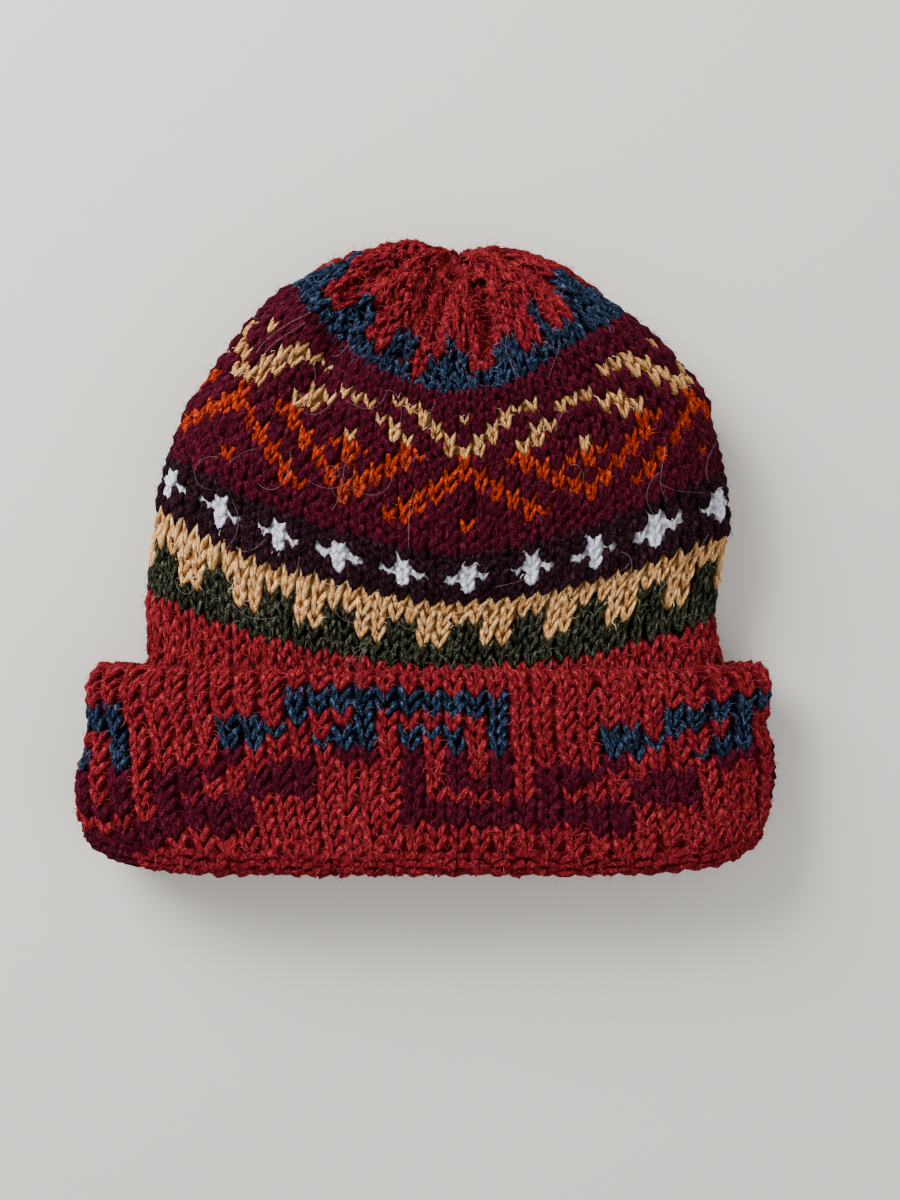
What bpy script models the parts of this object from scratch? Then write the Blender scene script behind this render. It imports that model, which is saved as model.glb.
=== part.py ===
"""A hand-knitted beanie with a turned-up cuff, lying on its back on a flat surface.

+Z points up from the surface, +Y towards the gathered top of the hat, and the mouth opens towards -Y.
The origin is on the surface, below the middle of the hat.
"""
import bmesh
import bpy
import numpy as np

# The knitted fabric
WALL = 0.0048                 # thickness of one layer of knitting
LAYER_GAP = 0.0006            # air between the crown and the cuff turned up over it
SEAT_GAP = 0.0003             # air between the crown's lower edge and the turn of the cuff

# The crown
CROWN_WIDTH = 0.207           # across the dome, laid flat
TUBE_LENGTH = 0.1145          # from the widest line of the dome down to the crown's lower edge
CROWN_HOLLOW = 0.0344         # free height inside the dome
POLE_RECESS = 0.0055          # how far the gathered pole sits below the puffs beside it
POLE_OFFSET = 0.007           # the pole lies this far right of the dome's middle
CROWN_OFFSET = 0.006          # the dome lies this far right of the cuff's middle
PLEAT_DEPTH = 0.0048          # deepest pleat at the gather
FLOOR_PRESS = 0.0007          # how much of the rounded underside the surface flattens

# The cuff
CUFF_FLARE = 0.0215           # how far each end of the cuff stands out past the dome
CUFF_HEIGHT = 0.0740          # from the turn at the rim up to the cast-on edge
MOUTH_HOLLOW = 0.0176         # free height between the walls at the mouth
CORNER_RISE = 0.0085          # the rim curls up by this much at both ends
EDGE_SAG = 0.0018             # the cast-on edge sags by this much in the middle

# Knitted rows counted down from the pole, with the place of each boundary on the hat.
# left, right: where the row meets the fold at each side. 0 is the pole, 1 the widest line of the
#   dome after a quarter turn, and 2 the crown's lower edge.
# middle: how far down the middle of the front the row lies, as a share of the crown's length
# bend: how sharply the row bends down in the middle, from 1.4, a soft V, to 8, straight
# stretch_left, stretch_right: the fold's distance from the dome's middle, as a share of half its width
# rise: height of the front above the pole, as a share of what is above the pole
# sink: the same below the pole, down to the surface
# tuck: 0 where the crown is free, 1 where the cuff holds it
# flare: 0 where the crown keeps its own width, 1 where it fills the cuff
CROWN_COLUMNS = ("row", "left", "right", "middle", "bend", "stretch_left", "stretch_right",
                 "rise", "sink", "tuck", "flare")
CROWN_SECTIONS = (
    (0, 0.000, 0.000, 0.000, 1.4, 1.005, 1.010, 0.00, 0.00, 0.00, 0.00),      # the gathered pole
    (1, 0.024, 0.030, 0.007, 1.4, 1.012, 1.012, 0.19, 0.22, 0.00, 0.00),
    (2, 0.050, 0.062, 0.018, 1.4, 1.022, 1.013, 0.36, 0.42, 0.00, 0.00),
    (4, 0.098, 0.125, 0.051, 1.4, 1.034, 1.014, 0.62, 0.72, 0.00, 0.00),
    (7, 0.160, 0.220, 0.119, 1.4, 1.028, 1.012, 0.88, 0.94, 0.00, 0.00),      # blue teeth begin
    (13, 0.342, 0.443, 0.220, 1.4, 1.014, 0.992, 1.00, 1.00, 0.00, 0.00),     # blue meets maroon
    (20, 0.580, 0.660, 0.352, 1.4, 0.978, 1.026, 0.97, 1.00, 0.00, 0.00),     # middle of the maroon
    (27, 0.826, 0.876, 0.485, 1.4, 0.982, 0.997, 0.86, 1.00, 0.05, 0.00),     # maroon meets plum
    (32, 0.933, 1.000, 0.562, 1.5, 0.984, 1.000, 0.76, 1.00, 0.20, 0.00),     # plum meets gold
    (34, 1.010, 1.070, 0.593, 1.6, 1.004, 0.985, 0.72, 1.00, 0.50, 0.00),     # gold teeth begin
    (38, 1.185, 1.270, 0.669, 1.9, 1.020, 0.958, 0.66, 1.00, 1.00, 0.00),     # green meets red
    (42, 1.390, 1.450, 0.746, 2.6, 1.012, 0.980, 0.60, 1.00, 1.00, 0.05),     # inside the cuff
    (55, 2.000, 2.000, 1.000, 8.0, 1.000, 1.000, 0.60, 1.00, 1.00, 1.00),     # lower edge
)

# The cuff from its cast-on edge, 0, down to the turn at the rim, 1.
# left, right: distance of each end from the middle, as a share of half the cuff's width
# lift: how far the layer stands off the crown, as a share of the wall
CUFF_COLUMNS = ("down", "left", "right", "lift")
CUFF_SECTIONS = (
    (0.00, 0.930, 0.962, 0.20),
    (0.07, 0.956, 0.990, 0.26),
    (0.15, 0.972, 0.997, 0.24),
    (0.33, 0.969, 0.982, 0.10),
    (0.48, 0.977, 0.995, 0.02),
    (0.62, 0.996, 1.000, 0.00),
    (0.74, 1.000, 0.995, 0.00),
    (0.85, 0.996, 0.992, 0.00),
    (0.93, 0.990, 0.984, 0.00),
    (1.00, 0.978, 0.974, 0.00),
)

# Pleats that run down from the gather, each a narrow valley between two puffs.
# around: place as a share of a turn from the middle of the front, towards the right
# spread: half the valley's width as a share of a turn
# reach: knitted rows from the pole to where the pleat has faded
# depth: as a share of the deepest pleat
PLEAT_COLUMNS = ("around", "spread", "reach", "depth")
PLEATS = (
    (0.045, 0.017, 13, 1.00),
    (0.165, 0.020, 11, 0.90),
    (0.270, 0.020, 10, 0.70),
    (0.365, 0.020, 10, 0.75),
    (0.460, 0.020, 11, 0.70),
    (-0.440, 0.020, 10, 0.70),
    (-0.345, 0.020, 11, 0.75),
    (-0.255, 0.020, 10, 0.70),
    (-0.165, 0.018, 15, 1.00),
    (-0.065, 0.018, 12, 0.95),
)

# Dents in the front of the crown.
# around, row: the dent's middle, in turns from the middle of the front and in knitted rows
# spread_around, spread_rows: its half width and half length, in turns and in rows
# twist: how far around the dent drifts in one row
# depth: as a share of the wall; a bulge is negative
DENT_COLUMNS = ("around", "row", "spread_around", "spread_rows", "twist", "depth")
DENTS = (
    (-0.120, 15.0, 0.020, 5.0, 0.0012, 1.15),      # long dent left of the middle
    (-0.175, 14.0, 0.030, 5.0, 0.0000, -0.45),     # bulge beyond the dent
    (-0.030, 17.0, 0.050, 5.0, 0.0000, -0.25),     # full front beside the dent
    (0.120, 13.5, 0.030, 3.5, 0.0000, 0.35),       # soft hollow right of the middle
    (0.060, 31.0, 0.070, 4.0, 0.0000, 0.18),       # slack above the cuff
)

# How finely the two skins are divided: points on a ring, and the rows or places of the rings
POINTS_AROUND = 64
OUTER_ROWS = (1, 2, 3, 4, 5, 6.2, 7.5, 9, 10.5, 12, 13.5, 15, 17, 19, 21.5, 24, 27, 30, 32.5,
              35, 37, 39, 41.5, 45, 49, 52.5, 54.2, 55)
INNER_ROWS = (55, 52, 47, 42, 38, 34, 30, 25, 20, 16, 13, 10.5, 8.5, 6.5, 4.8, 3.2, 2, 1)
CUFF_OUTER_STATIONS = (0.03, 0.09, 0.18, 0.30, 0.43, 0.56, 0.68, 0.79, 0.89, 0.96)
CUFF_INNER_STATIONS = (0.98, 0.85, 0.68, 0.50, 0.32, 0.15, 0.03)
TURN_STEPS = 6                # facets around the turn at the rim

# Shape of the fabric between the places given above
TOP_ROUNDNESS = 4.0           # how flat the front is between its rounded sides
UNDER_ROUNDNESS = 6.0         # the same for the underside, which lies on the surface
EDGE_BEND = 2.0               # the cast-on edge sags in a soft curve
RIM_BEND = 8.0                # the rim is straight up to its corners
NOTCH_WIDTH = 0.06            # half width of the notch at the pole, as a share of a quarter turn
OFFSET_FADE = 5               # how fast the rows lose the pole's offset to the right
POLE_WALL = 1.4 * WALL        # the gathered knitting is bunched thicker at the pole
INNER_PLEAT_SHARE = 0.5       # the pleats show half as deep on the inside
PLEAT_PEAK = 2.6              # brings a pleat to its full depth a third of the way along
HALF_TURN_SAMPLES = 120       # fine steps along half a face, before points are spaced evenly

# Sizes that follow from those above
DOME_RADIUS = CROWN_WIDTH / 2
LOFT = CROWN_HOLLOW + 2 * WALL
POLE_HEIGHT = LOFT / 2
CUFF_HALF_WIDTH = DOME_RADIUS + CUFF_FLARE
INNER_LAYER = WALL + LAYER_GAP                       # depth of the crown below the cuff's outer face
CUFF_LOFT = MOUTH_HOLLOW + 2 * (WALL + INNER_LAYER)
TURN_RADIUS = (WALL + INNER_LAYER) / 2
LOWER_EDGE = TURN_RADIUS + SEAT_GAP                  # y of the crown's lower edge; 0 is the rim
DOME_LINE = LOWER_EDGE + TUBE_LENGTH
POLE_LINE = DOME_LINE + DOME_RADIUS - POLE_RECESS


def slopes_of(stations, values):
    """Slopes for a smooth curve that never swings past its own points."""
    steps = np.diff(stations)
    rates = np.diff(values) / steps
    slopes = np.zeros(len(values))
    slopes[0], slopes[-1] = rates[0], rates[-1]
    for i in range(1, len(values) - 1):
        before, after = rates[i - 1], rates[i]
        if before * after > 0:
            near, far = 2 * steps[i] + steps[i - 1], steps[i] + 2 * steps[i - 1]
            slopes[i] = (near + far) / (near / before + far / after)
    return slopes


def column(table, names, name, at):
    """A named column of a table, read smoothly at a place between its rows."""
    stations = np.array([row[0] for row in table], float)
    values = np.array([row[names.index(name)] for row in table], float)
    slopes = slopes_of(stations, values)
    at = float(np.clip(at, stations[0], stations[-1]))
    i = int(np.clip(np.searchsorted(stations, at) - 1, 0, len(stations) - 2))
    step = stations[i + 1] - stations[i]
    t = (at - stations[i]) / step
    return ((2 * t**3 - 3 * t**2 + 1) * values[i] + (t**3 - 2 * t**2 + t) * step * slopes[i]
            + (3 * t**2 - 2 * t**3) * values[i + 1] + (t**3 - t**2) * step * slopes[i + 1])


def mix(first, second, share):
    return first + (second - first) * share


def cuff_end(side, down, inset):
    """Plan point of one end of the cuff: side is -1 on the left and 1 on the right."""
    share = column(CUFF_SECTIONS, CUFF_COLUMNS, "left" if side < 0 else "right", down)
    x = side * (CUFF_HALF_WIDTH * share - inset)
    y = mix(CUFF_HEIGHT, TURN_RADIUS + CORNER_RISE, down)
    return np.array((x, y))


def crown_fold(side, row):
    """Plan point where a knitted row meets the fold at one side of the crown."""
    name = "left" if side < 0 else "right"
    place = column(CROWN_SECTIONS, CROWN_COLUMNS, name, row)
    stretch = column(CROWN_SECTIONS, CROWN_COLUMNS, "stretch_" + name, row)
    flare = column(CROWN_SECTIONS, CROWN_COLUMNS, "flare", row)
    turn = min(place, 1.0) * np.pi / 2
    off_pole = POLE_OFFSET * (1 - min(place, 1.0)) ** OFFSET_FADE
    notch = POLE_RECESS * np.exp(-(place / NOTCH_WIDTH) ** 2)
    x = CROWN_OFFSET + off_pole + side * DOME_RADIUS * stretch * np.sin(turn)
    y = DOME_LINE + DOME_RADIUS * stretch * np.cos(turn) - notch
    y -= max(place - 1.0, 0.0) * (TUBE_LENGTH - CORNER_RISE)
    x_in_cuff = cuff_end(side, 1.0, INNER_LAYER)[0]
    return np.array((mix(x, x_in_cuff, flare), y))


def crown_profile(face, row):
    """The (y, z) point of a knitted row down the middle of the front, 1, or of the underside, -1."""
    y = mix(POLE_LINE, LOWER_EDGE, column(CROWN_SECTIONS, CROWN_COLUMNS, "middle", row))
    tuck = column(CROWN_SECTIONS, CROWN_COLUMNS, "tuck", row)
    if face > 0:
        rise = column(CROWN_SECTIONS, CROWN_COLUMNS, "rise", row)
        return np.array((y, mix(mix(POLE_HEIGHT, LOFT, rise), CUFF_LOFT - INNER_LAYER, tuck)))
    sink = column(CROWN_SECTIONS, CROWN_COLUMNS, "sink", row)
    return np.array((y, mix(mix(POLE_HEIGHT, -FLOOR_PRESS, sink), INNER_LAYER, tuck)))


def square_in(curve, hand, row, depth, y_axis):
    """A point of a plane curve moved in by a depth, square to the curve.

    Where the cuff holds the crown the move keeps its y, so that the lower edge stays level.
    """
    step = 0.05
    ahead = curve(hand, min(row + step, CROWN_SECTIONS[-1][0]))
    behind = curve(hand, max(row - step, 0.0))
    along = (ahead - behind) / np.linalg.norm(ahead - behind)
    outward = hand * np.array((-along[1], along[0])) * (1 if y_axis else -1)
    outward[y_axis] *= 1 - column(CROWN_SECTIONS, CROWN_COLUMNS, "tuck", row)
    return curve(hand, row) - depth * outward / np.linalg.norm(outward)


def ring(left, right, front, under, bend):
    """Points evenly spaced around a flattened ring, from the middle of the front towards the right.

    left and right are plan points of the side folds, front and under (y, z) points of the middle line.
    """
    fold_height = (under[1] + front[1]) / 2
    halves = []
    for face, middle, roundness in ((1, front, TOP_ROUNDNESS), (-1, under, UNDER_ROUNDNESS)):
        across = face * np.sin(np.linspace(-np.pi / 2, np.pi / 2, 2 * HALF_TURN_SAMPLES + 1))
        drop = (left[1] + right[1]) / 2 - middle[0]
        x = mix(left[0], right[0], (1 + across) / 2)
        y = mix(left[1], right[1], (1 + across) / 2) - drop * (1 - np.abs(across) ** bend)
        z = fold_height + (middle[1] - fold_height) * np.sqrt(1 - np.abs(across) ** roundness)
        halves.append(np.stack((x, y, z), axis=1))
    upper, lower = halves
    loop = np.concatenate((upper[HALF_TURN_SAMPLES:], lower[1:], upper[1:HALF_TURN_SAMPLES + 1]))
    travelled = np.concatenate(([0.0], np.cumsum(np.linalg.norm(np.diff(loop, axis=0), axis=1))))
    wanted = np.arange(POINTS_AROUND) * travelled[-1] / POINTS_AROUND
    return np.stack([np.interp(wanted, travelled, loop[:, axis]) for axis in range(3)], axis=1)


def crown_ring(row, depth):
    """A knitted row of the crown at a depth below its outer face."""
    points = ring(square_in(crown_fold, -1, row, depth, 1), square_in(crown_fold, 1, row, depth, 1),
                  square_in(crown_profile, 1, row, depth, 0), square_in(crown_profile, -1, row, depth, 0),
                  column(CROWN_SECTIONS, CROWN_COLUMNS, "bend", row))
    floor = depth + INNER_LAYER * column(CROWN_SECTIONS, CROWN_COLUMNS, "tuck", row)
    points[:, 2] = np.maximum(points[:, 2], floor)
    return points


def cuff_ring(down, inset, past_end=0.0):
    """A ring of the cuff at a depth below its outer face; past_end moves it on below the turn's line."""
    lift = WALL * column(CUFF_SECTIONS, CUFF_COLUMNS, "lift", down)
    y = mix(CUFF_HEIGHT - EDGE_SAG, TURN_RADIUS, down) - past_end
    shift = np.array((0.0, -past_end))
    points = ring(cuff_end(-1, down, inset) + shift, cuff_end(1, down, inset) + shift,
                  (y, CUFF_LOFT + lift - inset), (y, inset - FLOOR_PRESS), mix(EDGE_BEND, RIM_BEND, down))
    points[:, 2] = np.maximum(points[:, 2], inset)
    return points


def turns_apart(place, middle):
    """Distance around the hat between places given as shares of a turn, at most half a turn."""
    return (place - middle + 0.5) % 1.0 - 0.5


def fold_depth(row, pleat_share):
    """How far pleats and dents push a row in, for each of its points."""
    around = np.arange(POINTS_AROUND) / POINTS_AROUND
    depth = np.zeros(POINTS_AROUND)
    for values in PLEATS:
        pleat = dict(zip(PLEAT_COLUMNS, values))
        faded = min(row / pleat["reach"], 1.0)
        strength = PLEAT_PEAK * np.sqrt(faded) * (1 - faded)
        across = turns_apart(around, pleat["around"]) / pleat["spread"]
        depth += pleat_share * PLEAT_DEPTH * pleat["depth"] * strength * np.exp(-across**2)
    for values in DENTS:
        dent = dict(zip(DENT_COLUMNS, values))
        rows_off = row - dent["row"]
        across = turns_apart(around, dent["around"] + dent["twist"] * rows_off) / dent["spread_around"]
        depth += WALL * dent["depth"] * np.exp(-across**2 - (rows_off / dent["spread_rows"]) ** 2)
    return depth


def fold_rings(rings, rows, pleat_share, lowest):
    """Press the pleats and dents into a skin of rings, square to its surface."""
    grid = np.array(rings)
    around = np.roll(grid, -1, axis=1) - np.roll(grid, 1, axis=1)
    outward = np.cross(np.gradient(grid, axis=0), around)
    if rows[0] > rows[-1]:
        outward = -outward
    outward /= np.linalg.norm(outward, axis=2, keepdims=True)
    depths = np.array([fold_depth(row, pleat_share) for row in rows])
    grid = grid - outward * depths[:, :, None]
    grid[:, :, 2] = np.maximum(grid[:, :, 2], lowest)
    return list(grid)


def closed_skin(name, rings, poles):
    """One closed body from rings: between two poles, or joined end to end where there are none."""
    mesh_data = bmesh.new()
    loops = [[mesh_data.verts.new(point) for point in points] for points in rings]
    pairs = list(zip(loops, loops[1:]))
    if poles:
        first, last = (mesh_data.verts.new(pole) for pole in poles)
        pairs = [([first] * POINTS_AROUND, loops[0])] + pairs + [(loops[-1], [last] * POINTS_AROUND)]
    else:
        pairs.append((loops[-1], loops[0]))
    for upper, lower in pairs:
        for i in range(POINTS_AROUND):
            j = (i + 1) % POINTS_AROUND
            corners = dict.fromkeys((upper[i], lower[i], lower[j], upper[j]))
            mesh_data.faces.new(corners)
    bmesh.ops.triangulate(mesh_data, faces=mesh_data.faces)
    mesh = bpy.data.meshes.new(name)
    mesh_data.to_mesh(mesh)
    mesh_data.free()
    mesh.shade_smooth()
    body = bpy.data.objects.new(name, mesh)
    bpy.context.scene.collection.objects.link(body)
    return body


def yarn_material(name, colour):
    """Fuzzy knitting yarn: rough, with no shine."""
    material = bpy.data.materials.new(name)
    material.use_nodes = True
    shader = material.node_tree.nodes["Principled BSDF"]
    shader.inputs["Base Color"].default_value = (*colour, 1.0)
    shader.inputs["Roughness"].default_value = 0.95
    shader.inputs["Metallic"].default_value = 0.0
    return material


def build_crown():
    """The knitted bag: outer face from the pole down, the lower edge, and the inner face back up."""
    outer = [crown_ring(row, 0.0) for row in OUTER_ROWS]
    inner = [crown_ring(row, WALL) for row in INNER_ROWS]
    outer = fold_rings(outer, OUTER_ROWS, 1.0, 0.0)
    inner = fold_rings(inner, INNER_ROWS, INNER_PLEAT_SHARE, WALL)
    pole = (CROWN_OFFSET + POLE_OFFSET, POLE_LINE, POLE_HEIGHT)
    inner_pole = (CROWN_OFFSET + POLE_OFFSET, POLE_LINE - POLE_WALL, POLE_HEIGHT)
    crown = closed_skin("crown", outer + inner, (pole, inner_pole))
    crown.data.materials.append(yarn_material("maroon_yarn", (0.085, 0.010, 0.020)))
    return crown


def build_cuff():
    """The turned-up band: outer face down, around the turn, along the seat, and up the inner face."""
    rings = [cuff_ring(0.0, WALL / 2)]
    rings += [cuff_ring(down, 0.0) for down in CUFF_OUTER_STATIONS]
    for i in range(TURN_STEPS + 1):
        angle = np.pi * i / TURN_STEPS
        rings.append(cuff_ring(1.0, TURN_RADIUS * (1 - np.cos(angle)), TURN_RADIUS * np.sin(angle)))
    rings.append(cuff_ring(1.0, WALL))
    rings += [cuff_ring(down, WALL) for down in CUFF_INNER_STATIONS]
    cuff = closed_skin("cuff", rings, None)
    cuff.data.materials.append(yarn_material("red_yarn", (0.350, 0.024, 0.026)))
    return cuff


def centre_on_surface(pieces):
    """Put the middle of the whole hat over the origin."""
    corners = np.array([vertex.co for piece in pieces for vertex in piece.data.vertices])
    middle = (corners.min(axis=0) + corners.max(axis=0)) / 2
    for piece in pieces:
        piece.location = (-middle[0], -middle[1], 0.0)


for old in list(bpy.data.objects):
    bpy.data.objects.remove(old, do_unlink=True)
centre_on_surface([build_crown(), build_cuff()])
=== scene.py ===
"""A hand-knitted beanie with a turned-up cuff, lying on its back: its yarns, stitches and stray fibres.

+Z points up from the surface, +Y towards the gathered top, and the mouth opens towards -Y.
"""
import bpy
import numpy as np
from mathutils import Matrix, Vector


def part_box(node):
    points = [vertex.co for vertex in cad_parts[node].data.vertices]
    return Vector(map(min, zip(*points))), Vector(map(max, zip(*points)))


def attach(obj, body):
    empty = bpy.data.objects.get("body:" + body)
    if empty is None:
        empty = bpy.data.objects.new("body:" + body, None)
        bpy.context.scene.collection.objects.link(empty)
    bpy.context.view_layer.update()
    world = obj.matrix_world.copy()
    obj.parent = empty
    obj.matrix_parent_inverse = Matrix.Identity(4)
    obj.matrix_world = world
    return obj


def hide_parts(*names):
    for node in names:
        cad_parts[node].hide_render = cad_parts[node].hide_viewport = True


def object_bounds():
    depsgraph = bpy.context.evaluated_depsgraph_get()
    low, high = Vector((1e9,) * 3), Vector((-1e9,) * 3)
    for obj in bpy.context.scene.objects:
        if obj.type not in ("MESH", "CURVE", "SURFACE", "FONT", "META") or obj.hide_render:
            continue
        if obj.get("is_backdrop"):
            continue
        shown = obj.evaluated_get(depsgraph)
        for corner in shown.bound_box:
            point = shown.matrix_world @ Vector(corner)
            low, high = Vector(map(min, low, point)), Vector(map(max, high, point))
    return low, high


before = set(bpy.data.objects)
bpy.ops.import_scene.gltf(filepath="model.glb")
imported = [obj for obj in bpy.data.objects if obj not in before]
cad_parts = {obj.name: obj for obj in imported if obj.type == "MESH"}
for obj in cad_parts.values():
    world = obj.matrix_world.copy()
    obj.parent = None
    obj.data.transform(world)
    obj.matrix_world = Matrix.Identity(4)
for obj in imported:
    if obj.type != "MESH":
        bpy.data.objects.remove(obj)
cad_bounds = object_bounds()


# The crown's fabric
# One soft knitted tube, shaped by hand knitting in the round and drawn together at the top.
# It lies flattened, with pleats that run down from the gather and a long dent in its front.
WALL = 0.0048                 # thickness of one layer of knitting
LAYER_GAP = 0.0006            # air between the crown and the cuff turned up over it
DOME_RADIUS = 0.1035
DOME_LOFT = 0.0440            # height of the dome as it lies
POLE_HEIGHT = DOME_LOFT / 2
POLE_RECESS = 0.0030          # the pole is drawn in by this much
RECESS_REACH = 0.06           # share of the way down to the dome's end that the recess takes
POLE_OFFSET = 0.007           # the pole lies this far right of the crown's middle
CROWN_OFFSET = 0.006          # and the crown this far right of the cuff's
TUBE_LENGTH = 0.1145
CORNER_RISE = 0.0085          # the rim's corners curl up by this much
CUFF_FLARE = 0.0215
CUFF_HALF_WIDTH = DOME_RADIUS + CUFF_FLARE
RIM_WIDTHS = (0.978, 0.974)   # shares of the cuff's half width at the rim, left and right
INNER_LAYER = WALL + LAYER_GAP
HOLLOW_HEIGHT = 0.0176        # between the two layers of the crown, inside the mouth
CUFF_LOFT = HOLLOW_HEIGHT + 2 * (WALL + INNER_LAYER)
TURN_RADIUS = (WALL + INNER_LAYER) / 2
TURN_GAP = 0.0003             # between the crown's lower edge and the turn of the cuff
LOWER_EDGE = TURN_RADIUS + TURN_GAP
DOME_LINE = LOWER_EDGE + TUBE_LENGTH
POLE_LINE = DOME_LINE + DOME_RADIUS - POLE_RECESS
FLOOR_PRESS = 0.0007          # the fabric's weight presses its underside flat by this much
PLEAT_DEPTH = 0.0062
SLACK = 0.0005                # how unevenly the loose fabric lies
CROWN_STITCHES = 80
BODY_STITCH = (0.00565, 0.0042)          # width and row height
LOWEST_ROW = 55
RING_POINTS = 4 * CROWN_STITCHES        # round each row of the surfaces that yarn is laid on

# Knitted rows counted down from the pole: the row, where it meets the left and right folds, its place
# down the middle, its bend, the stretch left and right, its height over and under, tuck and flare
CROWN_ROWS = np.array((
    (0, 0.000, 0.000, 0.000, 1.4, 1.005, 1.010, 0.00, 0.00, 0.00, 0.00),
    (1, 0.024, 0.030, 0.010, 1.4, 1.012, 1.012, 0.19, 0.22, 0.00, 0.00),
    (2, 0.050, 0.062, 0.024, 1.4, 1.022, 1.013, 0.36, 0.42, 0.00, 0.00),
    (4, 0.098, 0.125, 0.061, 1.4, 1.034, 1.014, 0.62, 0.72, 0.00, 0.00),
    (7, 0.160, 0.220, 0.132, 1.4, 1.028, 1.012, 0.88, 0.94, 0.00, 0.00),
    (13, 0.342, 0.443, 0.236, 1.4, 1.014, 0.992, 1.00, 1.00, 0.00, 0.00),
    (20, 0.580, 0.660, 0.361, 1.4, 0.978, 1.026, 0.97, 1.00, 0.00, 0.00),
    (27, 0.804, 0.856, 0.497, 1.4, 0.982, 0.997, 0.86, 1.00, 0.05, 0.00),
    (32, 0.925, 0.990, 0.574, 1.5, 0.984, 1.000, 0.76, 1.00, 0.20, 0.00),
    (34, 1.010, 1.070, 0.609, 1.6, 1.004, 0.985, 0.72, 1.00, 0.50, 0.00),
    (38, 1.185, 1.270, 0.682, 1.9, 1.020, 0.958, 0.66, 1.00, 1.00, 0.00),
    (42, 1.390, 1.450, 0.749, 2.6, 1.012, 0.980, 0.60, 1.00, 1.00, 0.05),
    (55, 2.000, 2.000, 1.000, 8.0, 1.000, 1.000, 0.60, 1.00, 1.00, 1.00),
))

# Pleats: place in turns from the middle of the front, half width in turns, rows to its end, depth
PLEATS = (
    (0.045, 0.014, 13, 1.00),
    (0.165, 0.018, 11, 0.90),
    (0.270, 0.018, 10, 0.70),
    (0.365, 0.018, 10, 0.75),
    (0.460, 0.018, 11, 0.70),
    (-0.440, 0.018, 10, 0.70),
    (-0.345, 0.018, 11, 0.75),
    (-0.255, 0.018, 10, 0.70),
    (-0.165, 0.016, 15, 1.00),
    (-0.065, 0.015, 12, 0.95),
)

# Dents: turns and rows of the middle, half width in turns, half length in rows, twist, depth in walls
DENTS = (
    (-0.138, 15.0, 0.022, 5.0, 0.0012, 1.25),
    (-0.175, 14.0, 0.030, 5.0, 0.0000, -0.45),
    (-0.030, 17.0, 0.050, 5.0, 0.0000, -0.25),
    (0.120, 13.5, 0.030, 3.5, 0.0000, 0.35),
    (0.060, 31.0, 0.070, 4.0, 0.0000, 0.18),
)

# Sharp creases in the gather: first row and turn, last row and turn, depth
CREASES = (
    (4.0, 0.092, 11.0, 0.128, 0.0052),
    (3.0, 0.064, 11.0, 0.024, 0.0060),
    (2.5, -0.018, 10.0, -0.046, 0.0050),
    (7.5, -0.104, 12.0, -0.146, 0.0048),
    (3.0, -0.095, 8.0, -0.088, 0.0038),
    (4.5, 0.150, 10.0, 0.172, 0.0036),
)
CREASE_WIDTH = 0.009          # half width in turns

# Rows below level at which the knitting hangs, by place around, near four of its rows
SAG_TURNS = (-0.34, -0.24, -0.17, -0.12, -0.07, 0.0, 0.065, 0.11, 0.18, 0.26, 0.36)
SAGS = (
    (11.0, 2.6, (0.0, 0.4, 0.9, 1.3, 1.1, 0.3, 0.0, 0.0, 0.0, 0.0, 0.0)),
    (12.5, 6.0, (0.0, 0.0, 0.5, 0.9, 0.7, 0.15, 0.5, 0.1, 0.0, 0.0, 0.0)),
    (19.5, 3.2, (0.0, 1.4, 1.0, 0.5, 0.2, 0.0, 0.5, 1.1, 1.3, 0.8, 0.0)),
    (28.0, 5.0, (0.0, 0.3, 0.9, 0.8, 0.4, 0.3, 0.4, 0.4, 0.1, 0.0, 0.0)),
)

# Stitches by which the columns lie right of level, by place around, at some of the rows
LEAN_TURNS = (-0.32, -0.22, 0.0, 0.10, 0.165, 0.20, 0.215, 0.30)
LEANS = (
    (12.9, (0.0, 0.0, 0.0, 0.0, 0.0, 0.0, 0.0, 0.0)),
    (13.0, (0.0, -2.3, -0.95, -0.5, -0.17, 0.0, 0.0, 0.0)),
    (16.5, (0.0, -1.9, -0.95, -0.5, -0.17, 0.0, 0.0, 0.0)),
    (19.0, (0.0, -0.9, -0.95, -0.5, -0.17, 0.0, 0.0, 0.0)),
    (25.0, (0.0, 0.0, 0.0, 0.0, 0.0, 0.0, 0.0, 0.0)),
    (28.0, (0.0, 0.0, 0.1, 0.0, 0.0, 0.6, 1.0, 0.0)),
    (30.5, (0.0, 0.0, 0.1, 0.0, 0.0, 0.6, 1.0, 0.0)),
    (33.0, (0.0, 0.0, 0.0, 0.0, 0.0, 0.0, 0.0, 0.0)),
)


def smooth_curve(stations, values, at):
    """A curve through the values that never swings past them."""
    steps = np.diff(stations)
    rates = np.diff(values) / steps
    slopes = np.concatenate((rates[:1], np.zeros(len(rates) - 1), rates[-1:]))
    for i in range(1, len(rates)):
        if rates[i - 1] * rates[i] > 0:
            near = 2 * steps[i] + steps[i - 1]
            far = steps[i] + 2 * steps[i - 1]
            slopes[i] = (near + far) / (near / rates[i - 1] + far / rates[i])
    at = np.clip(at, stations[0], stations[-1])
    i = np.clip(np.searchsorted(stations, at) - 1, 0, len(rates) - 1)
    t = (at - stations[i]) / steps[i]
    start = (2 * t**3 - 3 * t**2 + 1) * values[i] + (t**3 - 2 * t**2 + t) * steps[i] * slopes[i]
    end = (3 * t**2 - 2 * t**3) * values[i + 1] + (t**3 - t**2) * steps[i] * slopes[i + 1]
    return start + end


def values_at(table, place):
    """A table's values at a place between its rows, as plain numbers."""
    return [float(smooth_curve(table[:, 0], column, place)) for column in table.T[1:]]


def mix(first, second, share):
    return first + (second - first) * share


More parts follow.
